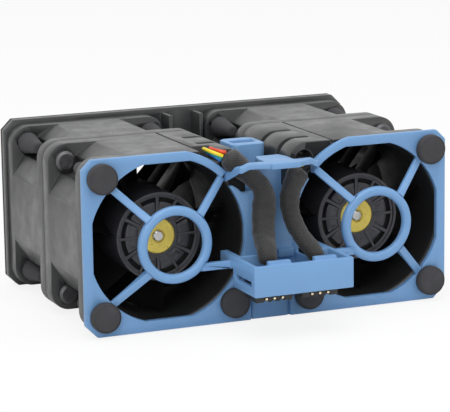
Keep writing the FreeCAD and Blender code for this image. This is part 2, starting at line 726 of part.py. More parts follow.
def bezel_plate(body):
    half = d.bezel_width / 2
    band = d.opening_round + d.band_width
    joint_y = leg(band, FAN_X - d.joint_x)
    band_x = FAN_X - leg(band, d.bezel_top)
    arch_end = d.joint_x + 2.4
    right = [(half - d.low_chamfer, -AXIS_Z), (half, d.low_chamfer - AXIS_Z),
             (half, d.bezel_top - d.top_chamfer), (half - d.top_chamfer, d.bezel_top),
             (band_x, d.bezel_top, band), (d.joint_x, joint_y),
             (arch_end, d.horn_top + 1.0), (arch_end - 1, d.horn_top - 1.5),
             (d.horn_x, d.horn_top), (d.horn_x - 0.6, d.horn_top), (d.notch_outer, d.notch_low + 1),
             (d.notch_outer - 1, d.notch_low), (d.post_half + 1, d.notch_low),
             (d.post_half, d.notch_low + 1), (d.post_half, d.tab_top - d.tab_thick)]
    left = []
    for index in range(len(right) - 1, -1, -1):
        point = (-right[index][0], right[index][1])
        if index and len(right[index - 1]) == 3:
            point += (right[index - 1][2],)
        left.append(point)
    plate = new_sketch(body, "PlateOutline")
    outline(plate, right + left)
    pad(body, "Plate", plate, d.bezel_thick)
    for side_name, side in SIDES.items():
        opening = new_sketch(body, side_name + "OpeningOutline", lift=d.bezel_thick)
        inner = FAN_X - (d.web_right if side > 0 else d.web_left)
        clipped_circle(opening, d.opening_round, d.opening_flat, FAN_X * side,
                       **{"left" if side > 0 else "right": inner})
        pocket(body, side_name + "Opening", opening, d.bezel_thick)
    holes = new_sketch(body, "PlugCircles", lift=d.bezel_thick)
    for x, y in FRONT_PLUGS:
        circle(holes, d.flange_hole, x, y)
    pocket(body, "PlugHoles", holes, d.bezel_thick)
    step = new_sketch(body, "TongueOutline", lift=d.bezel_thick)
    rectangle(step, -d.tongue_half, d.tongue_half, -AXIS_Z, -d.tongue_top)
    pocket(body, "TongueStep", step, d.tongue_step)
    slits = new_sketch(body, "SlitOutlines", lift=d.bezel_thick)
    rectangle(slits, d.tongue_half, d.tongue_half + d.slit_wide, -AXIS_Z, -d.tongue_top)
    rectangle(slits, -d.tongue_half - d.slit_wide, -d.tongue_half, -AXIS_Z, -d.tongue_top)
    pocket(body, "Slits", slits, d.bezel_thick - d.slit_floor)


def guard(body, side):
    """Finger guard: a ring on three sloping spokes and one straight bar to the box."""
    tag = "L" if side < 0 else "R"
    front = d.bezel_thick + d.guard_reach
    edge = d.guard_edge
    revolve(body, "GuardRing" + tag,
            [(d.guard_inner, front - d.guard_thick), (d.guard_outer, front - d.guard_thick),
             (d.guard_outer, front - edge), (d.guard_outer - edge, front),
             (d.guard_inner + edge, front), (d.guard_inner, front - edge)], x=FAN_X * side)
    near = (d.guard_outer + d.guard_inner) / 2
    far = d.opening_round + 0.3
    for index, angle in enumerate((45, 135, -45 if side > 0 else -135)):
        spoke = new_sketch(body, "SpokeProfile%s%d" % (tag, index), "XZ_Plane",
                           turn=Rotation(Vector(0, 1, 0), angle), x=FAN_X * side)
        outline(spoke, [(near, front - d.spoke_thick - 0.1), (far, 0),
                        (far, d.bezel_thick - 0.4), (near, front - 0.1)])
        pad(body, "Spoke%s%d" % (tag, index), spoke, d.spoke_wide, middle=True)
    bar = new_sketch(body, "BarOutline" + tag, lift=front - d.spoke_thick - 0.1)
    top = -d.box_top - 1.3
    ends = (FAN_X - leg(near, d.box_top + 1.3), d.box_half - 0.5)
    low, high = (ends[1], ends[0]) if side > 0 else (-ends[0], -ends[1])
    rectangle(bar, low, high, top - d.spoke_wide, top)
    pad(body, "Bar" + tag, bar, d.spoke_thick)


def arch_limb(body, side):
    """Limb of the arch: from the joint at the opening forward and up to the finger tab."""
    tag = "L" if side < 0 else "R"
    tab_low = d.tab_top - d.tab_thick
    joint_low = leg(d.opening_round, FAN_X - d.joint_x) + 0.35
    sections = []
    for index, (x, y, z, tall, deep) in enumerate((
            (d.joint_x + 0.3, joint_low, 0.0, 2.1, d.bezel_thick),
            (d.joint_x - 0.4, joint_low + 0.6, 2.9, 1.9, 1.8),
            (d.joint_x - 0.9, tab_low - 1.35, 5.5, 1.6, 1.6),
            (d.joint_x - 3.0, tab_low - 0.2, 6.5, 1.5, 1.6),
            (d.tab_half + 1.7, tab_low, 7.0, d.tab_thick, 2.6),
            (d.tab_half - 0.4, tab_low, 7.2, d.tab_thick, 3.6))):
        section = new_sketch(body, "LimbSection%s%d" % (tag, index), "YZ_Plane", lift=x * side)
        rectangle(section, y, as_size(y) + tall, z, as_size(z) + deep)
        sections.append(section)
    limb = body.newObject("PartDesign::AdditiveLoft", "Limb" + tag)
    limb.Profile = sections[0]
    limb.Sections = sections[1:]
    limb.Ruled = True


def finger_tab(body):
    """Flat tab that stands forward from the top of the middle post."""
    tab = new_sketch(body, "TabOutline", "XZ_Plane", lift=-d.tab_top)
    front = d.bezel_thick + d.tab_reach
    outline(tab, [(-d.tab_half, 3.0), (-d.post_half, 0), (d.post_half, 0), (d.tab_half, 3.0),
                  (d.tab_half, front), (-d.tab_half, front)])
    pad(body, "Tab", tab, d.tab_thick, reverse=False)


def spine_and_block(body):
    """Spine between the fans that carries a hollow block behind the arch."""
    spine = new_sketch(body, "SpineOutline", lift=-d.spine_reach)
    rectangle(spine, -d.spine_half, d.spine_half, -d.tongue_top, d.notch_low - 1)
    pad(body, "Spine", spine, d.spine_reach + 0.2)
    block = new_sketch(body, "BlockOutline", "XZ_Plane", lift=-d.block_top)
    back, front = -d.spine_reach, d.block_deep - d.spine_reach
    half, cut = d.block_half, d.block_chamfer
    outline(block, [(cut - half, back), (half - cut, back), (half, back + cut),
                    (half, front - cut), (half - cut, front), (cut - half, front),
                    (-half, front - cut), (-half, back + cut)])
    pad(body, "Block", block, d.block_top - d.notch_low + 4)
    hollow = new_sketch(body, "HollowOutline", "XZ_Plane", lift=-d.block_top)
    middle = (back + front) / 2
    rectangle(hollow, d.block_wall - half, half - d.block_wall,
              middle - d.hollow_deep / 2, middle + d.hollow_deep / 2)
    pocket(body, "BlockHollow", hollow, d.block_top - d.notch_low + 2, reverse=True)


def connector_box(body):
    """Open-topped box for both connectors, on a neck and two arms in front of the web."""
    front = d.bezel_thick + d.box_reach
    back = d.bezel_thick + d.box_back
    box = new_sketch(body, "BoxOutline", lift=back)
    rectangle(box, -d.box_half, d.box_half, -d.box_low, -d.box_top)
    pad(body, "Box", box, front - back)
    neck = new_sketch(body, "NeckOutline")
    rectangle(neck, -d.neck_half, d.neck_half, -d.box_low, -d.neck_top)
    pad(body, "Neck", neck, back + d.box_wall / 2)
    arms = new_sketch(body, "ArmOutlines", lift=0.5)
    rectangle(arms, d.box_half - d.arm_wide, d.box_half, -d.arm_low, -d.box_top)
    rectangle(arms, -d.box_half, d.arm_wide - d.box_half, -d.arm_low, -d.box_top)
    pad(body, "Arms", arms, back)
    depth = d.box_low - d.box_top - d.box_wall
    inner = d.box_half - d.box_wall
    room = new_sketch(body, "RoomOutline", "XZ_Plane", lift=d.box_top)
    rectangle(room, -inner, inner, back + d.box_wall, front - d.box_wall)
    pocket(body, "Room", room, depth, reverse=True)
    throat = d.neck_half - d.box_wall + 0.2
    passage = new_sketch(body, "PassageOutline", "XZ_Plane", lift=d.box_top)
    rectangle(passage, -throat, throat, d.bezel_thick, back + d.box_wall * 2)
    pocket(body, "Passage", passage, depth, reverse=True)
    ports = new_sketch(body, "PortOutlines", "XZ_Plane", lift=d.box_low - d.box_wall)
    for side in SIDES.values():
        x = d.plug_x * side
        half = d.plug_wide / 2 + d.plug_seat
        rectangle(ports, x - half, x + half, PLUG_FRONT - d.plug_deep - d.plug_seat,
                  PLUG_FRONT + d.plug_seat)
    pocket(body, "Ports", ports, d.box_wall, reverse=True)
    window = new_sketch(body, "WindowOutline", "YZ_Plane")
    rectangle(window, -d.box_low + 2.2, -d.box_low + 3.3, back + d.box_wall + 0.2,
              front - d.box_wall - 1.0)
    pocket(body, "Windows", window, d.box_half * 2 + 2, middle=True)
    lips = new_sketch(body, "LipOutlines", lift=front - d.box_wall * 2)
    for side in SIDES.values():
        x = d.plug_x * side
        rectangle(lips, x - d.lip_half, x + d.lip_half, -d.box_top - 1.4,
                  d.lip_high - d.box_top)
    pad(body, "Lips", lips, d.box_wall + 0.3)
    clip = new_sketch(body, "ClipOutline", lift=d.bezel_thick - 0.2)
    rectangle(clip, 1.3, 5.4, -6.2, -4.2)
    pad(body, "LeadClip", clip, d.clip_reach + 0.2)


# ---- bracket, plugs, screws, connectors ------------------------------------------------------

FRONT_PLUGS = [(FAN_X * side + HOLE * x_sign, HOLE * y_sign)
               for side in SIDES.values() for x_sign, y_sign in CORNERS
               if (x_sign, y_sign) != (-side, 1)]
REAR_PLUGS = [(FAN_X * side + HOLE * x_sign, HOLE * y_sign)
              for side in SIDES.values() for x_sign, y_sign in CORNERS]


def chamfered_plate(sketch, half, low, high, chamfer):
    outline(sketch, [(chamfer - half, low), (half - chamfer, low), (half, low + chamfer),
                     (half, high - chamfer), (half - chamfer, high), (chamfer - half, high),
                     (-half, high - chamfer), (-half, low + chamfer)])


def rear_bracket(name):
    """Black plate behind both fans with two ribs that reach into the gap."""
    body = new_body(name)
    plate = new_sketch(body, "PlateOutline")
    chamfered_plate(plate, d.bracket_width / 2, -AXIS_Z, d.bracket_top, d.bracket_chamfer)
    pad(body, "Plate", plate, d.bracket_thick)
    ribs = new_sketch(body, "RibOutlines")
    for side in SIDES.values():
        inner, outer = (d.bracket_rib_x - 1) * side, d.bracket_rib_x * side
        low, high = (inner, outer) if side > 0 else (outer, inner)
        rectangle(ribs, low, high, -HOLE, FAN_HALF)
    pad(body, "Ribs", ribs, d.bracket_rib_reach, reverse=True)
    cuts = new_sketch(body, "OpeningCircles", lift=d.bracket_thick)
    for side in SIDES.values():
        circle(cuts, d.bracket_round, FAN_X * side)
    for x, y in REAR_PLUGS:
        circle(cuts, d.flange_hole, x, y)
    pocket(body, "Openings", cuts, d.bracket_thick)
    return place(body, BACKWARD, 0, FAN_REAR_Y, AXIS_Z)


def rear_gasket(name):
    """Pale sealing frame around the edge of the bracket's back."""
    body = new_body(name)
    frame = new_sketch(body, "FrameOutline", lift=d.bracket_thick)
    half, wide = d.bracket_width / 2, d.gasket_wide
    chamfered_plate(frame, half, -AXIS_Z, d.bracket_top, d.bracket_chamfer)
    chamfered_plate(frame, half - wide, wide - AXIS_Z, d.bracket_top - wide, d.bracket_chamfer)
    pad(body, "Frame", frame, d.gasket_thick)
    return place(body, BACKWARD, 0, FAN_REAR_Y, AXIS_Z)


def isolator_set(name, seats, plate, rotation, y):
    """Rubber plugs: head on the plate, neck through plate and flange, tapered tail."""
    neck = d.flange_hole - d.plug_play
    back = d.outer_flange + d.plug_play
    body = new_body(name + "_drawing")
    revolve(body, "Plug", [(0, -back - d.plug_tail), (d.plug_tip, -back - d.plug_tail),
                           (d.plug_bulge, -back - 0.8), (d.plug_bulge - 0.3, -back),
                           (neck, -back), (neck, plate), (d.plug_head, plate),
                           (d.plug_head, plate + d.plug_head_thick - 0.4),
                           (d.plug_head - 0.4, plate + d.plug_head_thick),
                           (0, plate + d.plug_head_thick)])
    return copies(name, body, seats, rotation, y)


def copies(name, drawing, seats, rotation, y):
    """One drawing set at every seat (x, height above the fan axes) as one node."""
    members = []
    for index, (x, height) in enumerate(seats):
        piece = group("%s_%d" % (name, index + 1), [drawing])
        members.append(place(piece, rotation, x, y, height + AXIS_Z))
    return group(name, members)


def coupling_screws(name):
    """Screws through the seam flanges, heads in the front stage's corner pockets."""
    body = new_body(name + "_drawing")
    head = d.seam_flange + 0.02
    top = head + d.screw_head_thick
    revolve(body, "Screw", [(0, -d.seam_flange), (d.screw_radius, -d.seam_flange),
                            (d.screw_radius, head), (d.screw_head, head),
                            (d.screw_head, top - 0.5), (d.screw_head - 0.6, top), (0, top)])
    return copies(name, body, FRONT_PLUGS, FORWARD, SEAM_Y)


def connector(name, side):
    """Connector housing that hangs through the floor of the box."""
    body = new_body(name)
    high = PLUG_FRONT
    low = high - d.plug_deep
    half = d.plug_wide / 2
    housing = new_sketch(body, "HousingOutline", "XZ_Plane", lift=0)
    rectangle(housing, -half, half, low, high)
    pad(body, "Housing", housing, d.plug_height)
    slots = new_sketch(body, "ContactOutlines", "XZ_Plane", lift=d.plug_height)
    for x in CONTACT_X:
        rectangle(slots, x - d.contact_wide / 2 - 0.1, x + d.contact_wide / 2 + 0.1,
                  high - 1.2, high + 0.5)
    pocket(body, "ContactSlots", slots, d.plug_drop, reverse=False)
    return place(body, FORWARD, d.plug_x * side, FAN_FRONT_Y, PLUG_TOP_Z)


def contact_set(name, side):
    """Gold contacts in the slots of a connector housing."""
    members = []
    high = PLUG_FRONT
    top = d.plug_height - d.plug_drop
    for index, x in enumerate(CONTACT_X):
        body = new_body("%s_%d" % (name, index + 1))
        blade = new_sketch(body, "ContactOutline", "XZ_Plane", lift=top + 0.1)
        rectangle(blade, x - d.contact_wide / 2, x + d.contact_wide / 2, high - 1.15, high - 0.2)
        pad(body, "Contact", blade, d.contact_show)
        members.append(place(body, FORWARD, d.plug_x * side, FAN_FRONT_Y, PLUG_TOP_Z))
    return group(name, members)


PLUG_FRONT = d.bezel_thick + d.box_reach - d.box_wall - d.plug_back - d.plug_seat
PLUG_TOP_Z = AXIS_Z - d.box_low - d.plug_drop + d.plug_height
CONTACT_X = [d.contact_pitch * step for step in (-1, 0, 1)]


# ---- leads -----------------------------------------------------------------------------------

def rounded_path(points):
    """Straight runs joined by tangent arcs, each as large as its two runs allow."""
    edges = []
    last = points[0]
    for before, corner, after in zip(points, points[1:], points[2:]):
        into = (corner - before).normalize()
        out = (after - corner).normalize()
        turn = into.getAngle(out)
        reach = 0.45 * min((corner - before).Length, (after - corner).Length)
        print("radius %.1f" % (reach / math.tan(turn / 2)))
        start = corner - into * reach
        end = corner + out * reach
        bisector = (out - into).normalize()
        centre = corner + bisector * (reach / math.tan(turn / 2) / math.cos(turn / 2))
        middle = centre - bisector * (reach / math.tan(turn / 2))
        edges.append(Part.LineSegment(last, start).toShape())
        edges.append(Part.Arc(start, middle, end).toShape())
        last = end
    edges.append(Part.LineSegment(last, points[-1]).toShape())
    return Part.Wire(edges)


def tube(name, points, radius):
    """A round cord along a path, as a feature of the document."""
    path = rounded_path(points)
    start = (points[1] - points[0]).normalize()
    profile = Part.Wire(Part.Circle(points[0], start, radius.value).toShape())
    solid = path.makePipeShell([profile], True, False)
    expected = math.pi * radius.value ** 2 * path.Length
    print("%s: length %.1f, volume %.4f of expected" % (name, path.Length,
                                                       solid.Volume / expected))
    made = doc.addObject("Part::Feature", name)
    made.Label = name
    made.Shape = solid
    made.Placement = FreeCAD.Placement()
    return made


def module_point(x, forward, up):
    """A point given from the middle, forward of the bezel's face and above the fan axes."""
    return Vector(x, FAN_FRONT_Y.value - d.bezel_thick.value - forward, AXIS_Z.value + up)


LEFT_ROUTE = [(-9.5, 0.95, 17.9), (-6.9, 1.0, 14.9), (-4.3, 2.1, 12.9), (-2.5, 2.7, 10.2),
              (-2.9, 3.0, 5.8), (-3.4, 3.7, 2.4), (-4.3, 6.2, -0.7), (-5.4, 10.6, -2.5),
              (-5.6, 11.0, -5.4)]
RIGHT_ROUTE = [(7.4, 1.0, 14.2), (5.5, 1.7, 11.9), (4.1, 2.6, 9.6), (3.65, 2.8, 7.4),
               (3.7, 3.1, 5.0), (4.2, 4.2, 2.1), (4.9, 6.8, -0.6), (5.4, 10.7, -2.5),
               (5.6, 11.1, -5.4)]


def wires(name, starts, ends):
    """Bare wires from the wire guide forward and into the end of a sleeve."""
    members = []
    for index, (start, end) in enumerate(zip(starts, ends)):
        corner = (start[0], end[1], start[2])
        route = [module_point(*point) for point in (start, corner, end)]
        members.append(tube("%s_%d" % (name, index + 1), route, d.wire_radius))
    return group(name, members)


LEFT_WIRE_STARTS = [(-13.2, -4.0, 18.1), (-13.8, -4.0, 18.8), (-14.4, -4.0, 19.5),
                    (-15.0, -4.0, 20.2)]
LEFT_WIRE_ENDS = [(-10.7, 0.1, 17.3), (-10.1, 0.9, 17.85), (-9.5, 1.6, 18.4),
                  (-8.9, 0.7, 18.95)]
RIGHT_WIRE_STARTS = [(9.0, -3.0, 14.4), (9.0, -3.0, 15.4)]
RIGHT_WIRE_ENDS = [(8.2, 0.6, 14.3), (8.2, 1.4, 15.2)]


def build():
    """Make every node and return them."""
    nodes = []
    shared = motor_pieces()
    front_fan = impeller("front_impeller_drawing", 7, 1)
    rear_fan = impeller("rear_impeller_drawing", 5, 1)
    rear_frame = stage_frame("rear_frame_drawing", 0)
    for side_name, side in SIDES.items():
        front_frame = stage_frame(side_name + "_frame_drawing", -side)
        front = {"frame": front_frame, "impeller": front_fan, **shared}
        rear = {"frame": rear_frame, "impeller": rear_fan, **shared}
        nodes += stage(side_name + "_front", side, FORWARD, front)
        nodes += stage(side_name + "_rear", side, BACKWARD, rear)
    nodes.append(front_bezel("front_bezel"))
    nodes.append(rear_bracket("rear_bracket"))
    nodes.append(rear_gasket("rear_gasket"))
    nodes.append(isolator_set("front_isolators", FRONT_PLUGS, d.bezel_thick, FORWARD,
                              FAN_FRONT_Y))
    nodes.append(isolator_set("rear_isolators", REAR_PLUGS, d.bracket_thick, BACKWARD,
                              FAN_REAR_Y))
    nodes.append(coupling_screws("coupling_screws"))
    for side_name, side in SIDES.items():
        nodes.append(connector(side_name + "_connector", side))
        nodes.append(contact_set(side_name + "_contacts", side))
    nodes.append(tube("left_lead", [module_point(*p) for p in LEFT_ROUTE], d.lead_radius))
    nodes.append(tube("right_lead", [module_point(*p) for p in RIGHT_ROUTE], d.lead_radius))
    nodes.append(wires("left_wires", LEFT_WIRE_STARTS, LEFT_WIRE_ENDS))
    nodes.append(wires("right_wires", RIGHT_WIRE_STARTS, RIGHT_WIRE_ENDS))
    return nodes


def check_and_write(nodes):
    """Refuse failed objects and shapes, then write one file per node."""
    doc.recompute()
    for thing in doc.Objects:
        if "Invalid" in thing.State or "Error" in thing.State:
            raise RuntimeError("%s failed: %s" % (thing.Label, thing.State))
    for node in nodes:
        if node.Shape.isNull() or not node.Shape.isValid() or not node.Shape.Solids:
            raise RuntimeError("%s has no valid solid" % node.Label)
    os.makedirs("parts", exist_ok=True)
    for node in nodes:
        node.Shape.exportStep(os.path.join("parts", node.Label + ".step"))
    print("%d nodes" % len(nodes))


check_and_write(build())
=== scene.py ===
from math import atan2, cos, pi, radians, sin

import bpy
from bpy.props import FloatProperty, FloatVectorProperty, IntProperty, PointerProperty
from mathutils import Matrix, Quaternion, Vector


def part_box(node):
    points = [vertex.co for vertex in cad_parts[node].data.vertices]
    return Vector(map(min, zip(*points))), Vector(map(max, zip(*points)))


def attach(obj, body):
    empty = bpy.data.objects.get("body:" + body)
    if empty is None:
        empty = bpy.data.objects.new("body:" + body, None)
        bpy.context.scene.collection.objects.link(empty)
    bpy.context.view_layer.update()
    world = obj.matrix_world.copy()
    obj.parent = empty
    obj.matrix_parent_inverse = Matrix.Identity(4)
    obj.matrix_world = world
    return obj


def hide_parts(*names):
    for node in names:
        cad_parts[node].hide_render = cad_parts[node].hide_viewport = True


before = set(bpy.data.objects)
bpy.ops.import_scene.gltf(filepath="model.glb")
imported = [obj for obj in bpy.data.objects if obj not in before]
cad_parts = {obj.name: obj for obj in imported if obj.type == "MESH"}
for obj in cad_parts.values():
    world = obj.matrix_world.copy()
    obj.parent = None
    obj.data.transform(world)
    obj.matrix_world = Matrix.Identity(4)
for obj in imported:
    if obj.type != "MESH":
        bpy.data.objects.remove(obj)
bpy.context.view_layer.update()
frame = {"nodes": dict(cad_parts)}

bl_info = {
    "name": "Server Fan Module",
    "version": (1, 0, 0),
    "blender": (4, 5, 0),
    "location": "View3D > Sidebar > Fan Module",
    "description": "Twin fan module: moulded edges, finishes, sleeved leads and studio",
    "category": "Add Mesh",
}

STAGES = ("left_front", "left_rear", "right_front", "right_rear")
SIDES = ("left", "right")
# The front of the bezel's plate along Y, and the fan axes along Z.
BEZEL_FACE = -0.02135
AXIS_HEIGHT = 0.02085
# Distances from a fan axis: the duct's wall, the hub's skin and the hub's pockets.
DUCT_RADIUS = 0.0192
HUB_RADIUS = 0.0106
POCKET_RADII = (0.0049, 0.0094)
POCKET_DEPTHS = (-0.0013, -0.0002)
# How far a bush stands out of its hub's face.
BUSH_RISE = 0.0001


def srgb(red, green, blue):
    """A colour given as 0 to 255 display values, in the linear values Blender keeps."""
    linear = []
    for value in (red, green, blue):
        share = value / 255
        linear.append(share / 12.92 if share <= 0.04045 else ((share + 0.055) / 1.055) ** 2.4)
    return tuple(linear)


def colour_setting(name, description, default):
    return FloatVectorProperty(name=name, description=description, subtype="COLOR",
                               size=3, min=0, max=1, default=default)


class FanModuleSizes(bpy.types.PropertyGroup):
    """Lengths of the details that finish the module."""

    bezel_edge: FloatProperty(
        name="Bezel edge", description="Radius of the moulded edges of the bezel",
        default=0.00028, unit="LENGTH")
    frame_edge: FloatProperty(
        name="Frame edge", description="Radius of the moulded edges of the fan frames",
        default=0.0002, unit="LENGTH")
    rotor_edge: FloatProperty(
        name="Rotor edge", description="Radius of the edges of the impellers",
        default=0.00012, unit="LENGTH")
    rubber_edge: FloatProperty(
        name="Rubber edge", description="Radius of the rim of each isolator head",
        default=0.0005, unit="LENGTH")
    sleeve_radius: FloatProperty(
        name="Sleeve radius", description="Radius of the braided sleeve on a lead",
        default=0.0023, unit="LENGTH")
    wire_radius: FloatProperty(
        name="Wire radius", description="Radius of one insulated wire",
        default=0.00042, unit="LENGTH")
    sleeve_strands: IntProperty(
        name="Sleeve strands", description="Strands each way round the braided sleeve",
        default=20, min=8)


class FanModuleColours(bpy.types.PropertyGroup):
    """Colours of the module's finishes."""

    bezel: colour_setting("Bezel", "Blue of the bezel's plastic", srgb(110, 153, 199))
    frame: colour_setting("Frame", "Black of the fan frames' plastic", srgb(40, 41, 42))
    impeller: colour_setting("Impeller", "Black of the impellers' plastic", srgb(54, 54, 59))
    rubber: colour_setting("Rubber", "Grey of the rubber isolators", srgb(62, 62, 65))
    foam: colour_setting("Foam", "Grey of the rear gasket", srgb(48, 50, 48))
    bush: colour_setting("Bush", "Yellow of the disc on each hub", srgb(222, 200, 92))
    steel: colour_setting("Steel", "Bright steel of the shafts and screws", srgb(190, 190, 188))
    sleeve: colour_setting("Sleeve", "Black of the braided sleeves", srgb(21, 20, 19))
    wire_blue: colour_setting("Blue wire", "Insulation of the blue wire", srgb(20, 110, 190))
    wire_green: colour_setting("Green wire", "Insulation of the green wire", srgb(30, 140, 120))
    wire_yellow: colour_setting("Yellow wire", "Insulation of the yellow wire",
                                srgb(232, 206, 40))
    wire_red: colour_setting("Red wire", "Insulation of the red wire", srgb(215, 70, 30))


def sizes():
    return bpy.context.scene.fan_module_sizes


def colours():
    return bpy.context.scene.fan_module_colours


# ---------------------------------------------------------------- materials

def node(tree, kind, **settings):
    made = tree.nodes.new(kind)
    for name, value in settings.items():
        setattr(made, name, value)
    return made


def set_inputs(made, **values):
    for name, value in values.items():
        made.inputs[name.replace("_", " ")].default_value = value
    return made


def rgba(colour, factor=1.0):
    return tuple(min(1.0, channel * factor) for channel in colour) + (1.0,)


def new_material(name, roughness=0.5, metallic=0.0, **shader_values):
    """A material with a Principled shader, and its tree and shader."""
    material = bpy.data.materials.new(name)
    material.use_nodes = True
    tree = material.node_tree
    shader = tree.nodes["Principled BSDF"]
    shader.inputs["Roughness"].default_value = roughness
    shader.inputs["Metallic"].default_value = metallic
    set_inputs(shader, **shader_values)
    return material, tree, shader


def object_noise(tree, scale, detail=3.0, roughness=0.55, stretch=None):
    """A noise on the piece's own coordinates, in cells per metre."""
    place = node(tree, "ShaderNodeTexCoord").outputs["Object"]
    if stretch:
        mapping = node(tree, "ShaderNodeMapping")
        mapping.inputs["Scale"].default_value = stretch
        tree.links.new(place, mapping.inputs["Vector"])
        place = mapping.outputs["Vector"]
    noise = set_inputs(node(tree, "ShaderNodeTexNoise"), Scale=scale, Detail=detail,
                       Roughness=roughness)
    tree.links.new(place, noise.inputs["Vector"])
    return noise.outputs["Fac"]


def ramp(tree, source, stops):
    """A colour ramp of (position, colour) stops on a grey value."""
    made = node(tree, "ShaderNodeValToRGB")
    band = made.color_ramp
    band.elements[0].position, band.elements[0].color = stops[0]
    band.elements[1].position, band.elements[1].color = stops[-1]
    for position, colour in stops[1:-1]:
        band.elements.new(position).color = colour
    tree.links.new(source, made.inputs["Fac"])
    return made.outputs["Color"]


def to_range(tree, source, low, high, from_low=0.3, from_high=0.7):
    made = set_inputs(node(tree, "ShaderNodeMapRange"), From_Min=from_low, From_Max=from_high,
                      To_Min=low, To_Max=high)
    tree.links.new(source, made.inputs["Value"])
    return made.outputs["Result"]


def bump(tree, shader, height, strength, distance, under=None):
    made = set_inputs(node(tree, "ShaderNodeBump"), Strength=strength, Distance=distance)
    tree.links.new(height, made.inputs["Height"])
    if under:
        tree.links.new(under, made.inputs["Normal"])
    tree.links.new(made.outputs["Normal"], shader.inputs["Normal"])
    return made.outputs["Normal"]


def moulded_plastic(name, colour, roughness, grain=1500.0, depth=0.00003, mottle=0.08,
                    gloss_change=0.08, shine=0.5):
    """Moulded plastic: slightly uneven colour and gloss over a fine spark-eroded grain."""
    material, tree, shader = new_material(name, roughness)
    shader.inputs["Specular IOR Level"].default_value = shine
    cloud = object_noise(tree, 60.0)
    stops = [(0.3, rgba(colour, 1 - mottle)), (0.7, rgba(colour, 1 + mottle))]
    tree.links.new(ramp(tree, cloud, stops), shader.inputs["Base Color"])
    gloss = to_range(tree, object_noise(tree, 220.0), roughness - gloss_change,
                     roughness + gloss_change)
    tree.links.new(gloss, shader.inputs["Roughness"])
    bump(tree, shader, object_noise(tree, grain, detail=2.0), 0.35, depth)
    return material


def rubber(name, colour):
    """Matt moulded rubber with a coarse skin and faint dust."""
    material, tree, shader = new_material(name, 0.8)
    shader.inputs["Specular IOR Level"].default_value = 0.35
    cloud = object_noise(tree, 260.0, detail=4.0)
    stops = [(0.3, rgba(colour, 0.85)), (0.6, rgba(colour)), (0.78, rgba(colour, 1.35))]
    tree.links.new(ramp(tree, cloud, stops), shader.inputs["Base Color"])
    bump(tree, shader, object_noise(tree, 1400.0), 0.5, 0.00008)
    return material


def brushed_metal(name, colour, roughness, stretch=(1.0, 1.0, 1.0), grain=900.0):
    """Metal with fine tool marks drawn out along one axis."""
    material, tree, shader = new_material(name, roughness, 1.0)
    marks = object_noise(tree, grain, detail=4.0, stretch=stretch)
    stops = [(0.3, rgba(colour, 0.8)), (0.7, rgba(colour, 1.05))]
    tree.links.new(ramp(tree, marks, stops), shader.inputs["Base Color"])
    gloss = to_range(tree, marks, roughness - 0.08, roughness + 0.12)
    tree.links.new(gloss, shader.inputs["Roughness"])
    bump(tree, shader, marks, 0.15, 0.00002)
    return material


def yellow_disc(name, colour):
    """Yellow disc of the hub: satin, with a few dark specks and a soft sheen."""
    material, tree, shader = new_material(name, 0.45)
    cloud = object_noise(tree, 420.0, detail=3.0)
    specks = object_noise(tree, 2600.0, detail=1.0)
    base = ramp(tree, cloud, [(0.3, rgba(colour, 0.9)), (0.7, rgba(colour, 1.06))])
    dark = ramp(tree, specks, [(0.28, rgba(colour, 0.3)), (0.34, (1.0, 1.0, 1.0, 1.0))])
    mixed = node(tree, "ShaderNodeMix", data_type="RGBA", blend_type="MULTIPLY")
    mixed.inputs[0].default_value = 1.0
    tree.links.new(base, mixed.inputs[6])
    tree.links.new(dark, mixed.inputs[7])
    tree.links.new(mixed.outputs[2], shader.inputs["Base Color"])
    bump(tree, shader, cloud, 0.2, 0.00002)
    return material


def foam(name, colour):
    """Closed-cell foam: matt, with small open pores on its faces."""
    material, tree, shader = new_material(name, 0.9)
    place = node(tree, "ShaderNodeTexCoord").outputs["Object"]
    cells = set_inputs(node(tree, "ShaderNodeTexVoronoi"), Scale=1600.0)
    tree.links.new(place, cells.inputs["Vector"])
    pores = cells.outputs["Distance"]
    stops = [(0.1, rgba(colour, 0.6)), (0.5, rgba(colour, 1.15))]
    tree.links.new(ramp(tree, pores, stops), shader.inputs["Base Color"])
    bump(tree, shader, pores, 0.5, 0.00012)
    return material


def laminate_board(name):
    """Green board with faint tracks under its lacquer."""
    material, tree, shader = new_material(name, 0.35)
    lines = object_noise(tree, 700.0, detail=1.0, stretch=(1.0, 0.2, 0.2))
    stops = [(0.45, rgba(srgb(24, 74, 44))), (0.52, rgba(srgb(36, 104, 60)))]
    tree.links.new(ramp(tree, lines, stops), shader.inputs["Base Color"])
    bump(tree, shader, lines, 0.2, 0.00004)
    return material


def winding_copper(name):
    """Enamelled copper turns lying side by side."""
    material, tree, shader = new_material(name, 0.3, 1.0)
    turns = node(tree, "ShaderNodeTexWave", wave_type="BANDS", bands_direction="Y")
    set_inputs(turns, Scale=900.0, Distortion=0.6)
    tree.links.new(node(tree, "ShaderNodeTexCoord").outputs["Object"], turns.inputs["Vector"])
    stops = [(0.2, rgba(srgb(110, 52, 20))), (0.7, rgba(srgb(206, 122, 66)))]
    tree.links.new(ramp(tree, turns.outputs["Fac"], stops), shader.inputs["Base Color"])
    bump(tree, shader, turns.outputs["Fac"], 0.6, 0.00008)
    return material


def stacked_steel(name):
    """Thin steel laminations stacked along the shaft."""
    material, tree, shader = new_material(name, 0.45, 1.0)
    sheets = node(tree, "ShaderNodeTexWave", wave_type="BANDS", bands_direction="Y")
    set_inputs(sheets, Scale=500.0, Distortion=0.0)
    tree.links.new(node(tree, "ShaderNodeTexCoord").outputs["Object"], sheets.inputs["Vector"])
    stops = [(0.1, rgba(srgb(70, 70, 72))), (0.6, rgba(srgb(150, 150, 152)))]
    tree.links.new(ramp(tree, sheets.outputs["Fac"], stops), shader.inputs["Base Color"])
    bump(tree, shader, sheets.outputs["Fac"], 0.4, 0.00005)
    return material


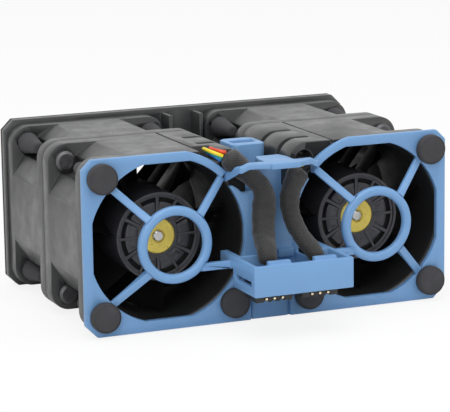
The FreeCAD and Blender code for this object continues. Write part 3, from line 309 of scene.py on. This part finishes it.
def braided_sleeve(name, colour, strands, turns_per_metre=1150.0):
    """Woven sleeve: two sets of strands cross at a slant, read from the tube's own UV map."""
    material, tree, shader = new_material(name, 0.62)
    shader.inputs["Sheen Weight"].default_value = 0.25
    place = node(tree, "ShaderNodeUVMap", uv_map="along_and_round").outputs["UV"]
    split = node(tree, "ShaderNodeSeparateXYZ")
    tree.links.new(place, split.inputs["Vector"])
    heights = []
    for hand in (1.0, -1.0):
        along = node(tree, "ShaderNodeMath", operation="MULTIPLY")
        along.inputs[1].default_value = hand * turns_per_metre
        tree.links.new(split.outputs["X"], along.inputs[0])
        round_it = node(tree, "ShaderNodeMath", operation="MULTIPLY")
        round_it.inputs[1].default_value = float(strands)
        tree.links.new(split.outputs["Y"], round_it.inputs[0])
        slant = node(tree, "ShaderNodeMath", operation="ADD")
        tree.links.new(along.outputs[0], slant.inputs[0])
        tree.links.new(round_it.outputs[0], slant.inputs[1])
        wave = node(tree, "ShaderNodeMath", operation="PINGPONG")
        wave.inputs[1].default_value = 0.5
        tree.links.new(slant.outputs[0], wave.inputs[0])
        heights.append(wave.outputs[0])
    weave = node(tree, "ShaderNodeMath", operation="MULTIPLY")
    tree.links.new(heights[0], weave.inputs[0])
    tree.links.new(heights[1], weave.inputs[1])
    fuzz = object_noise(tree, 900.0, detail=4.0, roughness=0.7)
    strand_height = to_range(tree, weave.outputs[0], 0.0, 1.0, 0.0, 0.25)
    lit = node(tree, "ShaderNodeMath", operation="MULTIPLY")
    tree.links.new(strand_height, lit.inputs[0])
    tree.links.new(fuzz, lit.inputs[1])
    # Painted highlights on the strands' tops and painted shade in the hollows between them,
    # broken up by the fuzz noise.
    stops = [(0.05, rgba(colour, 0.35)), (0.3, rgba(colour, 1.0)), (0.55, rgba(colour, 4.4))]
    tree.links.new(ramp(tree, lit.outputs[0], stops), shader.inputs["Base Color"])
    bump(tree, shader, strand_height, 0.8, 0.00015)
    return material


def insulated_wire(name, colour):
    """Extruded wire insulation, faintly uneven in gloss."""
    material, tree, shader = new_material(name, 0.38)
    cloud = object_noise(tree, 700.0)
    stops = [(0.3, rgba(colour, 0.9)), (0.7, rgba(colour, 1.05))]
    tree.links.new(ramp(tree, cloud, stops), shader.inputs["Base Color"])
    bump(tree, shader, cloud, 0.1, 0.00003)
    return material


def ferrite(name):
    """Dark sintered magnet with fine grains."""
    material, tree, shader = new_material(name, 0.7)
    grains = object_noise(tree, 1800.0, detail=4.0)
    stops = [(0.3, rgba(srgb(34, 33, 33))), (0.7, rgba(srgb(66, 64, 62)))]
    tree.links.new(ramp(tree, grains, stops), shader.inputs["Base Color"])
    bump(tree, shader, grains, 0.4, 0.00005)
    return material


MATERIALS = {}


def finishes():
    """All finishes, made once from the colour settings."""
    if MATERIALS:
        return MATERIALS
    paint = colours()
    MATERIALS.update({
        "bezel_plastic": moulded_plastic("bezel_plastic", paint.bezel, 0.42, mottle=0.03),
        "frame_plastic": moulded_plastic("frame_plastic", paint.frame, 0.35, grain=1100.0,
                                         depth=0.00003, mottle=0.15, shine=0.75),
        "impeller_plastic": moulded_plastic("impeller_plastic", paint.impeller, 0.38,
                                            mottle=0.1),
        # Near-black finishes for the hub's pockets, the blades and the duct's inner faces:
        # painted shade.
        "hub_shade": moulded_plastic("hub_shade", srgb(24, 24, 26), 0.7, shine=0.2),
        "blade_plastic": moulded_plastic("blade_plastic", srgb(22, 22, 24), 0.5, shine=0.2),
        "duct_plastic": moulded_plastic("duct_plastic", srgb(24, 24, 25), 0.6, shine=0.2),
        "gasket_foam": foam("gasket_foam", paint.foam),
        "isolator_rubber": rubber("isolator_rubber", paint.rubber),
        "screw_steel": brushed_metal("screw_steel", srgb(96, 96, 98), 0.5),
        "bearing_steel": brushed_metal("bearing_steel", paint.steel, 0.22,
                                       stretch=(1.0, 0.15, 1.0)),
        "bush_brass": yellow_disc("bush_brass", paint.bush),
        "yoke_steel": brushed_metal("yoke_steel", srgb(150, 150, 150), 0.35),
        "magnet_ferrite": ferrite("magnet_ferrite"),
        "lamination_steel": stacked_steel("lamination_steel"),
        "copper_wire": winding_copper("copper_wire"),
        "board_laminate": laminate_board("board_laminate"),
        "connector_plastic": moulded_plastic("connector_plastic", srgb(30, 30, 32), 0.4,
                                             mottle=0.12),
        "contact_gold": brushed_metal("contact_gold", srgb(214, 168, 84), 0.25),
        "tip_gold": brushed_metal("tip_gold", srgb(244, 226, 190), 0.2),
        "lead_sleeve": braided_sleeve("lead_sleeve", paint.sleeve, sizes().sleeve_strands),
    })
    return MATERIALS


def finish(piece, slot, body="housing", look=None):
    """Gives a new piece its material, the slot's finish unless a look is given, and the body it
    rides on.

    A look is the name of a finish that differs from the slot's own.
    """
    piece.data.materials.clear()
    piece.data.materials.append(finishes()[look or slot])
    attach(piece, body)
    return piece


def refinish_node(name, slot):
    """Puts a finish on a CAD node's own material slots."""
    cad_node = frame["nodes"][name]
    if not cad_node.material_slots:
        cad_node.data.materials.append(finishes()[slot])
    for held in cad_node.material_slots:
        held.material = finishes()[slot]


# ---------------------------------------------------------------- modelling

SMOOTH_ANGLE = radians(42.0)
TUBE_SMOOTH_ANGLE = radians(50.0)
# Points nearer than this are one, and faces that turn less than this are one face.
MERGE_DISTANCE = 0.000002
FLAT_ANGLE = radians(0.5)


def select_nothing():
    bpy.ops.object.select_all(action="DESELECT")


def select_only(piece):
    select_nothing()
    piece.select_set(True)
    bpy.context.view_layer.objects.active = piece


def pick_faces(piece, test):
    """Selects the piece's faces that pass the test, for the next edit."""
    select_only(piece)
    bpy.ops.object.mode_set(mode="EDIT")
    bpy.ops.mesh.select_mode(type="FACE")
    bpy.ops.mesh.select_all(action="DESELECT")
    bpy.ops.object.mode_set(mode="OBJECT")
    for face in piece.data.polygons:
        face.select = test(face)


def context_piece(name):
    """The piece that the last operator left active, under its name."""
    piece = bpy.context.object
    piece.name = name
    return piece


def join_pieces(pieces, name):
    """Joins the pieces into the first of them."""
    select_only(pieces[0])
    for piece in pieces:
        piece.select_set(True)
    bpy.ops.object.join()
    return context_piece(name)


def place_block(name, low, high):
    """A block between two corners, ready to be shaped in edit mode."""
    select_nothing()
    middle = [(a + b) / 2 for a, b in zip(low, high)]
    bpy.ops.mesh.primitive_cube_add(size=1.0, location=middle)
    piece = context_piece(name)
    piece.scale = [b - a for a, b in zip(low, high)]
    bpy.ops.object.transform_apply(location=True, rotation=True, scale=True)
    return piece


def merged_copy(node_name, name, cuts=()):
    """A mesh of its own in the CAD node's shape, its loose triangles joined into faces.

    Faces are cut again at the planes of (place, normal) in cuts, so that none is left with
    a hole in it.
    """
    source = frame["nodes"][node_name]
    piece = bpy.data.objects.new(name, source.data.copy())
    bpy.context.scene.collection.objects.link(piece)
    select_only(piece)
    if piece.data.has_custom_normals:
        bpy.ops.mesh.customdata_custom_splitnormals_clear()
    bpy.ops.object.mode_set(mode="EDIT")
    bpy.ops.mesh.select_all(action="SELECT")
    bpy.ops.mesh.remove_doubles(threshold=MERGE_DISTANCE)
    bpy.ops.mesh.dissolve_limited(angle_limit=FLAT_ANGLE, delimit=set())
    for place, normal in cuts:
        bpy.ops.mesh.select_all(action="SELECT")
        bpy.ops.mesh.bisect(plane_co=place, plane_no=normal)
    bpy.ops.object.mode_set(mode="OBJECT")
    return piece


def round_edges(piece, width, sharper_than=30.0, segments=2, clamp=False):
    """Rounds every edge sharper than an angle and shades the result smoothly."""
    select_only(piece)
    bevel = piece.modifiers.new("edge_round", "BEVEL")
    bevel.width = width
    bevel.segments = segments
    bevel.limit_method = "ANGLE"
    bevel.angle_limit = radians(sharper_than)
    bevel.use_clamp_overlap = clamp
    bevel.miter_outer = "MITER_ARC"
    bpy.ops.object.modifier_apply(modifier="edge_round")
    bpy.ops.object.shade_smooth_by_angle(angle=SMOOTH_ANGLE)
    return piece


def rounded_node(node_name, name, slot, width, body="housing", cuts=(), **rounding):
    """The CAD node's shape with moulded edges, standing for that node."""
    piece = round_edges(merged_copy(node_name, name, cuts), width, **rounding)
    finish(piece, slot, body)
    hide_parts(node_name)
    return piece


def shift_points(piece, test, by):
    """Moves the piece's points that pass the test."""
    select_only(piece)
    bpy.ops.object.mode_set(mode="EDIT")
    bpy.ops.mesh.select_mode(type="VERT")
    bpy.ops.mesh.select_all(action="DESELECT")
    bpy.ops.object.mode_set(mode="OBJECT")
    for point in piece.data.vertices:
        point.select = test(point.co)
    bpy.ops.object.mode_set(mode="EDIT")
    bpy.ops.transform.translate(value=by)
    bpy.ops.object.mode_set(mode="OBJECT")


def paint_faces(piece, finish_name, test):
    """Gives a second finish to the faces whose centre passes the test."""
    piece.data.materials.append(finishes()[finish_name])
    index = len(piece.data.materials) - 1
    for face in piece.data.polygons:
        if test(face.center):
            face.material_index = index


def from_axis(place, middle):
    """How far a place is from the fan axis through a hub's middle."""
    return Vector((place.x - middle.x, place.z - middle.z)).length


def hub_place(stage):
    """The middle of a stage's hub face, and the way it faces along Y."""
    low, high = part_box(stage + "_hub_bush")
    outward = -1.0 if stage.endswith("front") else 1.0
    level = low.y + BUSH_RISE if outward < 0 else high.y - BUSH_RISE
    return Vector(((low.x + high.x) / 2, level, (low.z + high.z) / 2)), outward


def module_point(x, forward, up):
    """Millimetres across, in front of the bezel's face and above the fan axes, in metres."""
    return Vector((x / 1000, BEZEL_FACE - forward / 1000, AXIS_HEIGHT + up / 1000))


def smooth_points(name, points):
    """Points close together along a smooth open line with these control points."""
    curve = bpy.data.curves.new(name + "_line", "CURVE")
    curve.dimensions = "3D"
    curve.resolution_u = 12
    spline = curve.splines.new("NURBS")
    spline.points.add(len(points) - 1)
    for held, point in zip(spline.points, points):
        held.co = (*point, 1.0)
    spline.order_u = 3
    spline.use_endpoint_u = True
    line = bpy.data.objects.new(name + "_line", curve)
    bpy.context.scene.collection.objects.link(line)
    bpy.context.view_layer.update()
    mesh = bpy.data.meshes.new_from_object(line)
    held_points = [vertex.co.copy() for vertex in mesh.vertices]
    bpy.data.meshes.remove(mesh)
    bpy.data.objects.remove(line)
    return held_points


def smooth_value(stops, share):
    """A value that eases from stop to stop of (share, value)."""
    for (start, before), (end, after) in zip(stops, stops[1:]):
        if share <= end:
            part = (share - start) / (end - start)
            return before + (after - before) * (0.5 - 0.5 * cos(pi * part))
    return stops[-1][1]


def tube_along(name, points, radius_at, corners):
    """A closed tube round a line. radius_at(share, turn) gives its radius at any place."""
    lengths = [0.0]
    for here, following in zip(points, points[1:]):
        lengths.append(lengths[-1] + (following - here).length)
    side = Vector((1.0, 0.0, 0.0))
    vertices, faces, uvs = [], [], []
    for index, point in enumerate(points):
        before, after = points[max(index - 1, 0)], points[min(index + 1, len(points) - 1)]
        along = (after - before).normalized()
        side = (side - along * side.dot(along)).normalized()
        other = along.cross(side)
        for corner in range(corners):
            turn = 2 * pi * corner / corners
            radius = radius_at(lengths[index] / lengths[-1], turn)
            vertices.append(point + (side * cos(turn) + other * sin(turn)) * radius)
    for index in range(len(points) - 1):
        for corner in range(corners):
            nearer, farther = index * corners, (index + 1) * corners
            following = (corner + 1) % corners
            faces.append((nearer + corner, nearer + following,
                          farther + following, farther + corner))
            shares = (corner / corners, (corner + 1) / corners)
            uvs += [(lengths[index], shares[0]), (lengths[index], shares[1]),
                    (lengths[index + 1], shares[1]), (lengths[index + 1], shares[0])]
    last = (len(points) - 1) * corners
    faces.append(tuple(reversed(range(corners))))
    faces.append(tuple(range(last, last + corners)))
    uvs += [(0.0, 0.0)] * (2 * corners)
    mesh = bpy.data.meshes.new(name)
    mesh.from_pydata([tuple(vertex) for vertex in vertices], [], faces)
    layer = mesh.uv_layers.new(name="along_and_round")
    for held, uv in zip(layer.data, uvs):
        held.uv = uv
    piece = bpy.data.objects.new(name, mesh)
    bpy.context.scene.collection.objects.link(piece)
    select_only(piece)
    bpy.ops.object.mode_set(mode="EDIT")
    bpy.ops.mesh.select_all(action="SELECT")
    bpy.ops.mesh.normals_make_consistent(inside=False)
    bpy.ops.object.mode_set(mode="OBJECT")
    bpy.ops.object.shade_smooth_by_angle(angle=TUBE_SMOOTH_ANGLE)
    return piece


# ---------------------------------------------------------------- places and routes

# Planes across the plates through the middles of their round holes.
PLATE_CUTS = tuple(((place, 0.0, 0.0), (1.0, 0.0, 0.0))
                   for place in (-0.0415, -0.0255, -0.0095, 0.0, 0.0095, 0.0255, 0.0415))
# From and to where along X a section of the arch's limbs moves, then how far up and back.
LIMB_SHIFTS = ((0.0102, 0.0105, 0.0008, 0.0004), (0.0097, 0.01, 0.0003, 0.0))
# The arch's limbs lie in front of this Y and above this Z.
LIMBS_BEFORE = BEZEL_FACE - 0.001
LIMBS_ABOVE = AXIS_HEIGHT + 0.0115
# Radius of each sleeve at shares of its length, where the sleeve radius is SHAPE_RADIUS.
SHAPE_RADIUS = 2.3
SLEEVE_SHAPES = {
    "left": ((0.0, 2.45), (0.1, 2.45), (0.3, 2.1), (0.52, 2.6), (0.66, 2.6), (0.8, 2.3),
             (1.0, 2.1)),
    "right": ((0.0, 2.45), (0.25, 2.2), (0.6, 2.0), (1.0, 1.95)),
}

# Points across, in front of the bezel's face and above the fan axes, in millimetres.
LEAD_ROUTES = {
    "left": [(-11.2, 0.7, 19.0), (-7.6, 0.7, 15.6), (-4.5, 2.0, 12.9), (-2.5, 2.7, 10.2),
             (-2.9, 3.0, 5.8), (-3.4, 3.7, 2.4), (-4.3, 6.2, -0.7), (-5.4, 10.6, -2.5),
             (-5.6, 11.0, -5.4)],
    "right": [(7.4, 1.0, 14.2), (5.5, 1.7, 11.9), (4.1, 2.6, 9.6), (3.65, 2.8, 7.4),
              (3.7, 3.1, 5.0), (4.2, 4.2, 2.1), (5.2, 7.2, -1.2), (6.3, 10.4, -3.2),
              (7.2, 11.0, -5.4)],
}
WIRE_COLOURS = {"left": ("blue", "green", "yellow", "red"), "right": ("red", "yellow")}
WIRE_STARTS = {
    "left": [(-14.2, -4.0, 19.2), (-14.5, -4.0, 19.6), (-14.8, -4.0, 20.0),
             (-13.2, -4.0, 20.0)],
    "right": [(9.0, -3.4, 13.2), (9.0, -3.0, 15.0)],
}
WIRE_ENDS = {
    "left": [(-12.4, 0.2, 17.8), (-12.2, 0.4, 18.3), (-12.0, 0.5, 18.8), (-11.2, 0.4, 19.6)],
    "right": [(8.2, -0.8, 13.2), (8.2, -0.2, 14.8)],
}


# ---------------------------------------------------------------- operators

class FANMODULE_OT_camera(bpy.types.Operator):
    """Place the camera in front of the module, a little to its left and above it"""

    bl_idname = "fan_module.camera"
    bl_label = "Camera"
    focal_length = 182.1
    place = (-0.21006, -0.49499, 0.13305)
    azimuth, elevation, roll = radians(-22.76), radians(11.58), radians(-0.826)

    def execute(self, context):
        lens = bpy.data.cameras.new("camera")
        lens.sensor_width = 36.0
        lens.lens = self.focal_length
        lens.clip_start = 0.01
        lens.clip_end = 20.0
        camera = bpy.data.objects.new("camera", lens)
        context.scene.collection.objects.link(camera)
        level = cos(self.elevation)
        back = Vector((sin(self.azimuth) * level, -cos(self.azimuth) * level,
                       sin(self.elevation)))
        camera.rotation_mode = "QUATERNION"
        camera.rotation_quaternion = ((-back).to_track_quat("-Z", "Y")
                                      @ Quaternion((0.0, 0.0, 1.0), self.roll))
        camera.location = self.place
        context.scene.camera = camera
        return {"FINISHED"}


def soft_light(name, place, target, size, power):
    data = bpy.data.lights.new(name, "AREA")
    data.shape = "RECTANGLE"
    data.size, data.size_y = size
    data.energy = power
    light = bpy.data.objects.new(name, data)
    bpy.context.scene.collection.objects.link(light)
    light.location = place
    aim = Vector(target) - Vector(place)
    light.rotation_mode = "QUATERNION"
    light.rotation_quaternion = aim.to_track_quat("-Z", "Y")
    return light


class FANMODULE_OT_stage(bpy.types.Operator):
    """Lay the pale floor and light it softly from above and from both sides"""

    bl_idname = "fan_module.stage"
    bl_label = "Floor and lights"
    floor_glow = 0.85
    room_light = 0.42
    middle = (0.0, 0.0, 0.02)
    # Name, place, size and watts of each light that faces the middle.
    lights = (("top_light", (-0.1, -0.1, 0.9), (0.9, 0.9), 6.2),
              ("front_light", (-0.7, -1.0, 0.55), (0.8, 0.6), 4.7),
              ("side_light", (0.9, -0.5, 0.4), (0.6, 0.6), 1.8))

    def execute(self, context):
        self.floor()
        self.room(context.scene)
        for name, place, size, power in self.lights:
            soft_light(name, place, self.middle, size, power)
        context.scene.view_settings.view_transform = "Standard"
        return {"FINISHED"}

    def floor(self):
        """A pale floor, brighter where the camera sees it than where it lights the module."""
        select_nothing()
        bpy.ops.mesh.primitive_plane_add(size=6.0, location=(0.0, 0.0, -0.0002))
        floor = context_piece("floor")
        bpy.ops.object.transform_apply(location=True, rotation=False, scale=False)
        material, tree, shader = new_material("floor_paper", 0.9)
        cloud = object_noise(tree, 3.0)
        stops = [(0.3, (0.86, 0.86, 0.86, 1.0)), (0.7, (0.9, 0.9, 0.9, 1.0))]
        tree.links.new(ramp(tree, cloud, stops), shader.inputs["Base Color"])
        rays = node(tree, "ShaderNodeLightPath")
        glow = set_inputs(node(tree, "ShaderNodeEmission"), Color=(1.0, 1.0, 1.0, 1.0),
                          Strength=1.0)
        share = node(tree, "ShaderNodeMath", operation="MULTIPLY")
        share.inputs[1].default_value = self.floor_glow
        tree.links.new(rays.outputs["Is Camera Ray"], share.inputs[0])
        mixed = node(tree, "ShaderNodeMixShader")
        tree.links.new(share.outputs[0], mixed.inputs[0])
        tree.links.new(shader.outputs[0], mixed.inputs[1])
        tree.links.new(glow.outputs[0], mixed.inputs[2])
        tree.links.new(mixed.outputs[0], tree.nodes["Material Output"].inputs["Surface"])
        floor.data.materials.append(material)

    def room(self, scene):
        """A white room, dimmer as a light than it looks to the camera and in reflections."""
        world = bpy.data.worlds.new("studio")
        scene.world = world
        world.use_nodes = True
        tree = world.node_tree
        tree.nodes.clear()
        rays = node(tree, "ShaderNodeLightPath")
        seen = node(tree, "ShaderNodeMath", operation="MAXIMUM")
        tree.links.new(rays.outputs["Is Camera Ray"], seen.inputs[0])
        glossy = node(tree, "ShaderNodeMath", operation="MAXIMUM")
        tree.links.new(rays.outputs["Is Glossy Ray"], glossy.inputs[0])
        tree.links.new(rays.outputs["Is Transmission Ray"], glossy.inputs[1])
        tree.links.new(glossy.outputs[0], seen.inputs[1])
        strength = set_inputs(node(tree, "ShaderNodeMapRange"), To_Min=self.room_light,
                              To_Max=1.0)
        tree.links.new(seen.outputs[0], strength.inputs["Value"])
        sky = node(tree, "ShaderNodeBackground")
        sky.inputs["Color"].default_value = (1.0, 1.0, 1.0, 1.0)
        tree.links.new(strength.outputs["Result"], sky.inputs["Strength"])
        output = node(tree, "ShaderNodeOutputWorld")
        tree.links.new(sky.outputs[0], output.inputs["Surface"])


class FANMODULE_OT_bezel(bpy.types.Operator):
    """Finish the blue front bezel with its guard, spine and connector box"""

    bl_idname = "fan_module.bezel"
    bl_label = "Front bezel"

    def execute(self, context):
        piece = merged_copy("front_bezel", "bezel_shell", PLATE_CUTS)
        for low, high, rise, back in LIMB_SHIFTS:
            shift_points(piece, lambda point: (low < abs(point.x) < high
                                               and point.y < LIMBS_BEFORE
                                               and point.z > LIMBS_ABOVE),
                         (0.0, back, rise))
        round_edges(piece, sizes().bezel_edge)
        finish(piece, "bezel_plastic")
        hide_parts("front_bezel")
        return {"FINISHED"}


class FANMODULE_OT_frames(bpy.types.Operator):
    """Finish the four fan frames, the rear bracket and its gasket"""

    bl_idname = "fan_module.frames"
    bl_label = "Frames and bracket"

    def execute(self, context):
        for stage in STAGES:
            piece = rounded_node(stage + "_frame", stage + "_frame_shell", "frame_plastic",
                                 sizes().frame_edge)
            middle = hub_place(stage)[0]
            # The duct's inner faces are darker than the rest of the frame: painted shade, with
            # a matter gloss.
            paint_faces(piece, "duct_plastic",
                        lambda centre: from_axis(centre, middle) < DUCT_RADIUS)
        rounded_node("rear_bracket", "bracket_shell", "frame_plastic", sizes().frame_edge,
                     cuts=PLATE_CUTS)
        rounded_node("rear_gasket", "gasket_strip", "gasket_foam", sizes().rotor_edge)
        return {"FINISHED"}


class FANMODULE_OT_impellers(bpy.types.Operator):
    """Finish the four impellers with their hub discs and shafts"""

    bl_idname = "fan_module.impellers"
    bl_label = "Impellers"

    def execute(self, context):
        for stage in STAGES:
            rotor = stage + "_rotor"
            middle, outward = hub_place(stage)
            cuts = [(middle, (sin(radians(turn)), 0.0, cos(radians(turn))))
                    for turn in (0.0, 60.0, 120.0)]
            piece = rounded_node(stage + "_impeller", stage + "_blades", "impeller_plastic",
                                 sizes().rotor_edge, body=rotor, cuts=cuts)

            def in_pocket(centre):
                inner, outer = POCKET_RADII
                deepest, highest = POCKET_DEPTHS
                return (inner < from_axis(centre, middle) < outer
                        and deepest < (centre.y - middle.y) * outward < highest)

            # The pockets' faces get a near-black colour: painted shade on their floors and
            # walls.
            paint_faces(piece, "hub_shade", in_pocket)
            # The blades get a darker copy of the impeller's plastic: painted shade inside the
            # duct.
            paint_faces(piece, "blade_plastic",
                        lambda centre: from_axis(centre, middle) > HUB_RADIUS)
            refinish_node(stage + "_hub_bush", "bush_brass")
            refinish_node(stage + "_shaft", "bearing_steel")
        return {"FINISHED"}


# The section of a hub panel, from the axis along X and from the hub's face along Y, then
# how far it sweeps, and each step of its dome as (inset, rise).
PANEL_MIDDLE = (0.0065, -0.0006, 0.0)
PANEL_SECTION = (0.003, 0.0008, 1.0)
PANEL_SWEEP = radians(51.0)
PANEL_DOME = ((0.0005, 0.00015), (0.0004, 0.00007))
RIB_CORNERS = ((0.0046, -0.0005, -0.00032), (0.0096, 0.00022, 0.00032))
PANELS = 6


def hub_panel():
    """A domed sector and the rib along its middle, drawn round Y with X outwards."""
    select_nothing()
    bpy.ops.mesh.primitive_plane_add(size=1.0, location=PANEL_MIDDLE)
    panel = context_piece("panel")
    panel.scale = PANEL_SECTION
    bpy.ops.object.transform_apply(location=True, rotation=True, scale=True)
    bpy.ops.object.mode_set(mode="EDIT")
    bpy.ops.mesh.select_all(action="SELECT")
    bpy.ops.mesh.spin(steps=8, angle=PANEL_SWEEP, center=(0.0, 0.0, 0.0),
                      axis=(0.0, 1.0, 0.0))
    bpy.ops.mesh.select_all(action="SELECT")
    bpy.ops.mesh.remove_doubles(threshold=0.000001)
    bpy.ops.mesh.fill_holes(sides=4)
    bpy.ops.mesh.normals_make_consistent(inside=False)
    bpy.ops.object.mode_set(mode="OBJECT")
    middle = sum((point.co for point in panel.data.vertices), Vector())
    panel.data.transform(Matrix.Rotation(atan2(middle.z, middle.x), 4, "Y"))
    pick_faces(panel, lambda face: face.normal.y > 0.9)
    bpy.ops.object.mode_set(mode="EDIT")
    for inset, rise in PANEL_DOME:
        bpy.ops.mesh.inset(thickness=inset, depth=rise)
    bpy.ops.object.mode_set(mode="OBJECT")
    round_edges(panel, sizes().rotor_edge, segments=3, clamp=True)
    rib = place_block("rib", *RIB_CORNERS)
    round_edges(rib, sizes().rotor_edge)
    return join_pieces([panel, rib], "panel")


class FANMODULE_OT_hub_faces(bpy.types.Operator):
    """Model the domed panels and ribs between the pockets of each hub"""

    bl_idname = "fan_module.hub_faces"
    bl_label = "Hub faces"

    def execute(self, context):
        drawing = hub_panel()
        for stage in STAGES:
            middle, outward = hub_place(stage)
            panels = []
            for index in range(PANELS):
                panel = drawing.copy()
                panel.data = drawing.data.copy()
                context.scene.collection.objects.link(panel)
                facing = Matrix.Rotation(0.0 if outward > 0 else pi, 4, "X")
                turn = Matrix.Rotation(2 * pi * index / PANELS, 4, "Y")
                panel.data.transform(Matrix.Translation(middle) @ turn @ facing)
                panels.append(panel)
            piece = join_pieces(panels, stage + "_hub_panels")
            finish(piece, "impeller_plastic", stage + "_rotor")
        bpy.data.objects.remove(drawing)
        return {"FINISHED"}


class FANMODULE_OT_motors(bpy.types.Operator):
    """Finish the parts inside the four motors"""

    bl_idname = "fan_module.motors"
    bl_label = "Motor parts"

    def execute(self, context):
        slots = {"rotor_yoke": "yoke_steel", "magnet_ring": "magnet_ferrite",
                 "retaining_ring": "screw_steel", "stator_core": "lamination_steel",
                 "coils": "copper_wire", "bearings": "bearing_steel",
                 "circuit_board": "board_laminate"}
        for stage in STAGES:
            for part, slot in slots.items():
                refinish_node(stage + "_" + part, slot)
        return {"FINISHED"}


class FANMODULE_OT_fixings(bpy.types.Operator):
    """Finish the rubber isolators and the coupling screws"""

    bl_idname = "fan_module.fixings"
    bl_label = "Isolators and screws"

    def execute(self, context):
        rounded_node("front_isolators", "front_rubbers", "isolator_rubber",
                     sizes().rubber_edge, segments=3)
        rounded_node("rear_isolators", "rear_rubbers", "isolator_rubber",
                     sizes().rubber_edge, segments=3)
        refinish_node("coupling_screws", "screw_steel")
        return {"FINISHED"}


class FANMODULE_OT_connectors(bpy.types.Operator):
    """Finish the two connectors and their contacts"""

    bl_idname = "fan_module.connectors"
    bl_label = "Connectors"
    pitch = 0.002
    tip_radius, tip_length, tip_edge = 0.00034, 0.0012, 0.00016

    def execute(self, context):
        for side in SIDES:
            rounded_node(side + "_connector", side + "_plug_shell", "connector_plastic",
                         sizes().rotor_edge)
            refinish_node(side + "_contacts", "contact_gold")
            self.pins(side)
        return {"FINISHED"}

    def pins(self, side):
        """Round gold tips that stand a little out of the housing below the box."""
        low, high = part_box(side + "_connector")
        middle = (low.x + high.x) / 2
        tips = []
        for step in (-1, 0, 1):
            select_nothing()
            bpy.ops.mesh.primitive_cylinder_add(
                vertices=20, radius=self.tip_radius, depth=self.tip_length,
                rotation=(pi / 2, 0.0, 0.0),
                location=(middle + step * self.pitch, low.y + 0.0003, low.z + 0.0008))
            tip = context_piece(side + "_pin")
            bpy.ops.object.transform_apply(location=True, rotation=True, scale=True)
            round_edges(tip, self.tip_edge, segments=3)
            tips.append(tip)
        joined = join_pieces(tips, side + "_pin_tips")
        # The tips wear a near-white copy of the contact gold: a painted glint.
        finish(joined, "contact_gold", look="tip_gold")


class FANMODULE_OT_leads(bpy.types.Operator):
    """Build the two braided sleeves and the bare wires that run into them"""

    bl_idname = "fan_module.leads"
    bl_label = "Leads and wires"
    sleeve_corners = 40
    wire_corners = 16
    # The share of a sleeve's length over which each end closes in, and how far it closes.
    end_share, end_size = 0.06, 0.3

    def execute(self, context):
        for side in SIDES:
            self.sleeve(side)
            self.wires(side)
        return {"FINISHED"}

    def sleeve(self, side):
        route = [module_point(*point) for point in LEAD_ROUTES[side]]
        points = smooth_points(side + "_lead", route)
        full = sizes().sleeve_radius / SHAPE_RADIUS
        hand = 1.0 if side == "left" else -1.0

        def radius_at(share, turn):
            near = min(1.0, min(share, 1.0 - share) / self.end_share)
            ends = self.end_size + (1.0 - self.end_size) * (1.0 - (1.0 - near) ** 2) ** 0.5
            flat = 1.0 + 0.05 * cos(2.0 * turn)
            folds = 0.025 * sin(26.0 * share + 2.0 * hand * turn)
            folds += 0.018 * sin(61.0 * share - turn) + 0.01 * sin(97.0 * share + 3.0 * turn)
            return full * smooth_value(SLEEVE_SHAPES[side], share) * ends * (flat + folds)

        piece = tube_along(side + "_sleeve", points, radius_at, self.sleeve_corners)
        finish(piece, "lead_sleeve")
        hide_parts(side + "_lead")

    def wires(self, side):
        ends = zip(WIRE_COLOURS[side], WIRE_STARTS[side], WIRE_ENDS[side])
        for hue, start, end in ends:
            corner = (start[0], end[1], start[2])
            route = [module_point(*point) for point in (start, corner, end)]
            name = "%s_wire_%s" % (side, hue)
            points = smooth_points(name, route)
            piece = tube_along(name, points, lambda share, turn: sizes().wire_radius,
                               self.wire_corners)
            colour = getattr(colours(), "wire_" + hue)
            piece.data.materials.append(insulated_wire(name, colour))
            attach(piece, "housing")
            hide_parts(side + "_wires")


class FANMODULE_PT_panel(bpy.types.Panel):
    """The module's pieces and settings"""

    bl_idname = "FANMODULE_PT_panel"
    bl_label = "Fan Module"
    bl_space_type = "VIEW_3D"
    bl_region_type = "UI"
    bl_category = "Fan Module"

    def draw(self, context):
        column = self.layout.column(align=True)
        for operator in STEPS:
            column.operator(operator.bl_idname)
        column = self.layout.column(align=True)
        for group in (context.scene.fan_module_sizes, context.scene.fan_module_colours):
            for name in group.bl_rna.properties.keys():
                if name not in ("rna_type", "name"):
                    column.prop(group, name)


STEPS = (
    FANMODULE_OT_camera,
    FANMODULE_OT_leads,
    FANMODULE_OT_bezel,
    FANMODULE_OT_frames,
    FANMODULE_OT_impellers,
    FANMODULE_OT_hub_faces,
    FANMODULE_OT_motors,
    FANMODULE_OT_fixings,
    FANMODULE_OT_connectors,
    FANMODULE_OT_stage,
)
CLASSES = (FanModuleSizes, FanModuleColours) + STEPS + (FANMODULE_PT_panel,)


def register():
    for held in CLASSES:
        bpy.utils.register_class(held)
    bpy.types.Scene.fan_module_sizes = PointerProperty(type=FanModuleSizes)
    bpy.types.Scene.fan_module_colours = PointerProperty(type=FanModuleColours)


def unregister():
    del bpy.types.Scene.fan_module_colours
    del bpy.types.Scene.fan_module_sizes
    for held in reversed(CLASSES):
        bpy.utils.unregister_class(held)


def main():
    register()
    for step in STEPS:
        group, name = step.bl_idname.split(".")
        getattr(getattr(bpy.ops, group), name)()


if __name__ == "__main__":
    main()
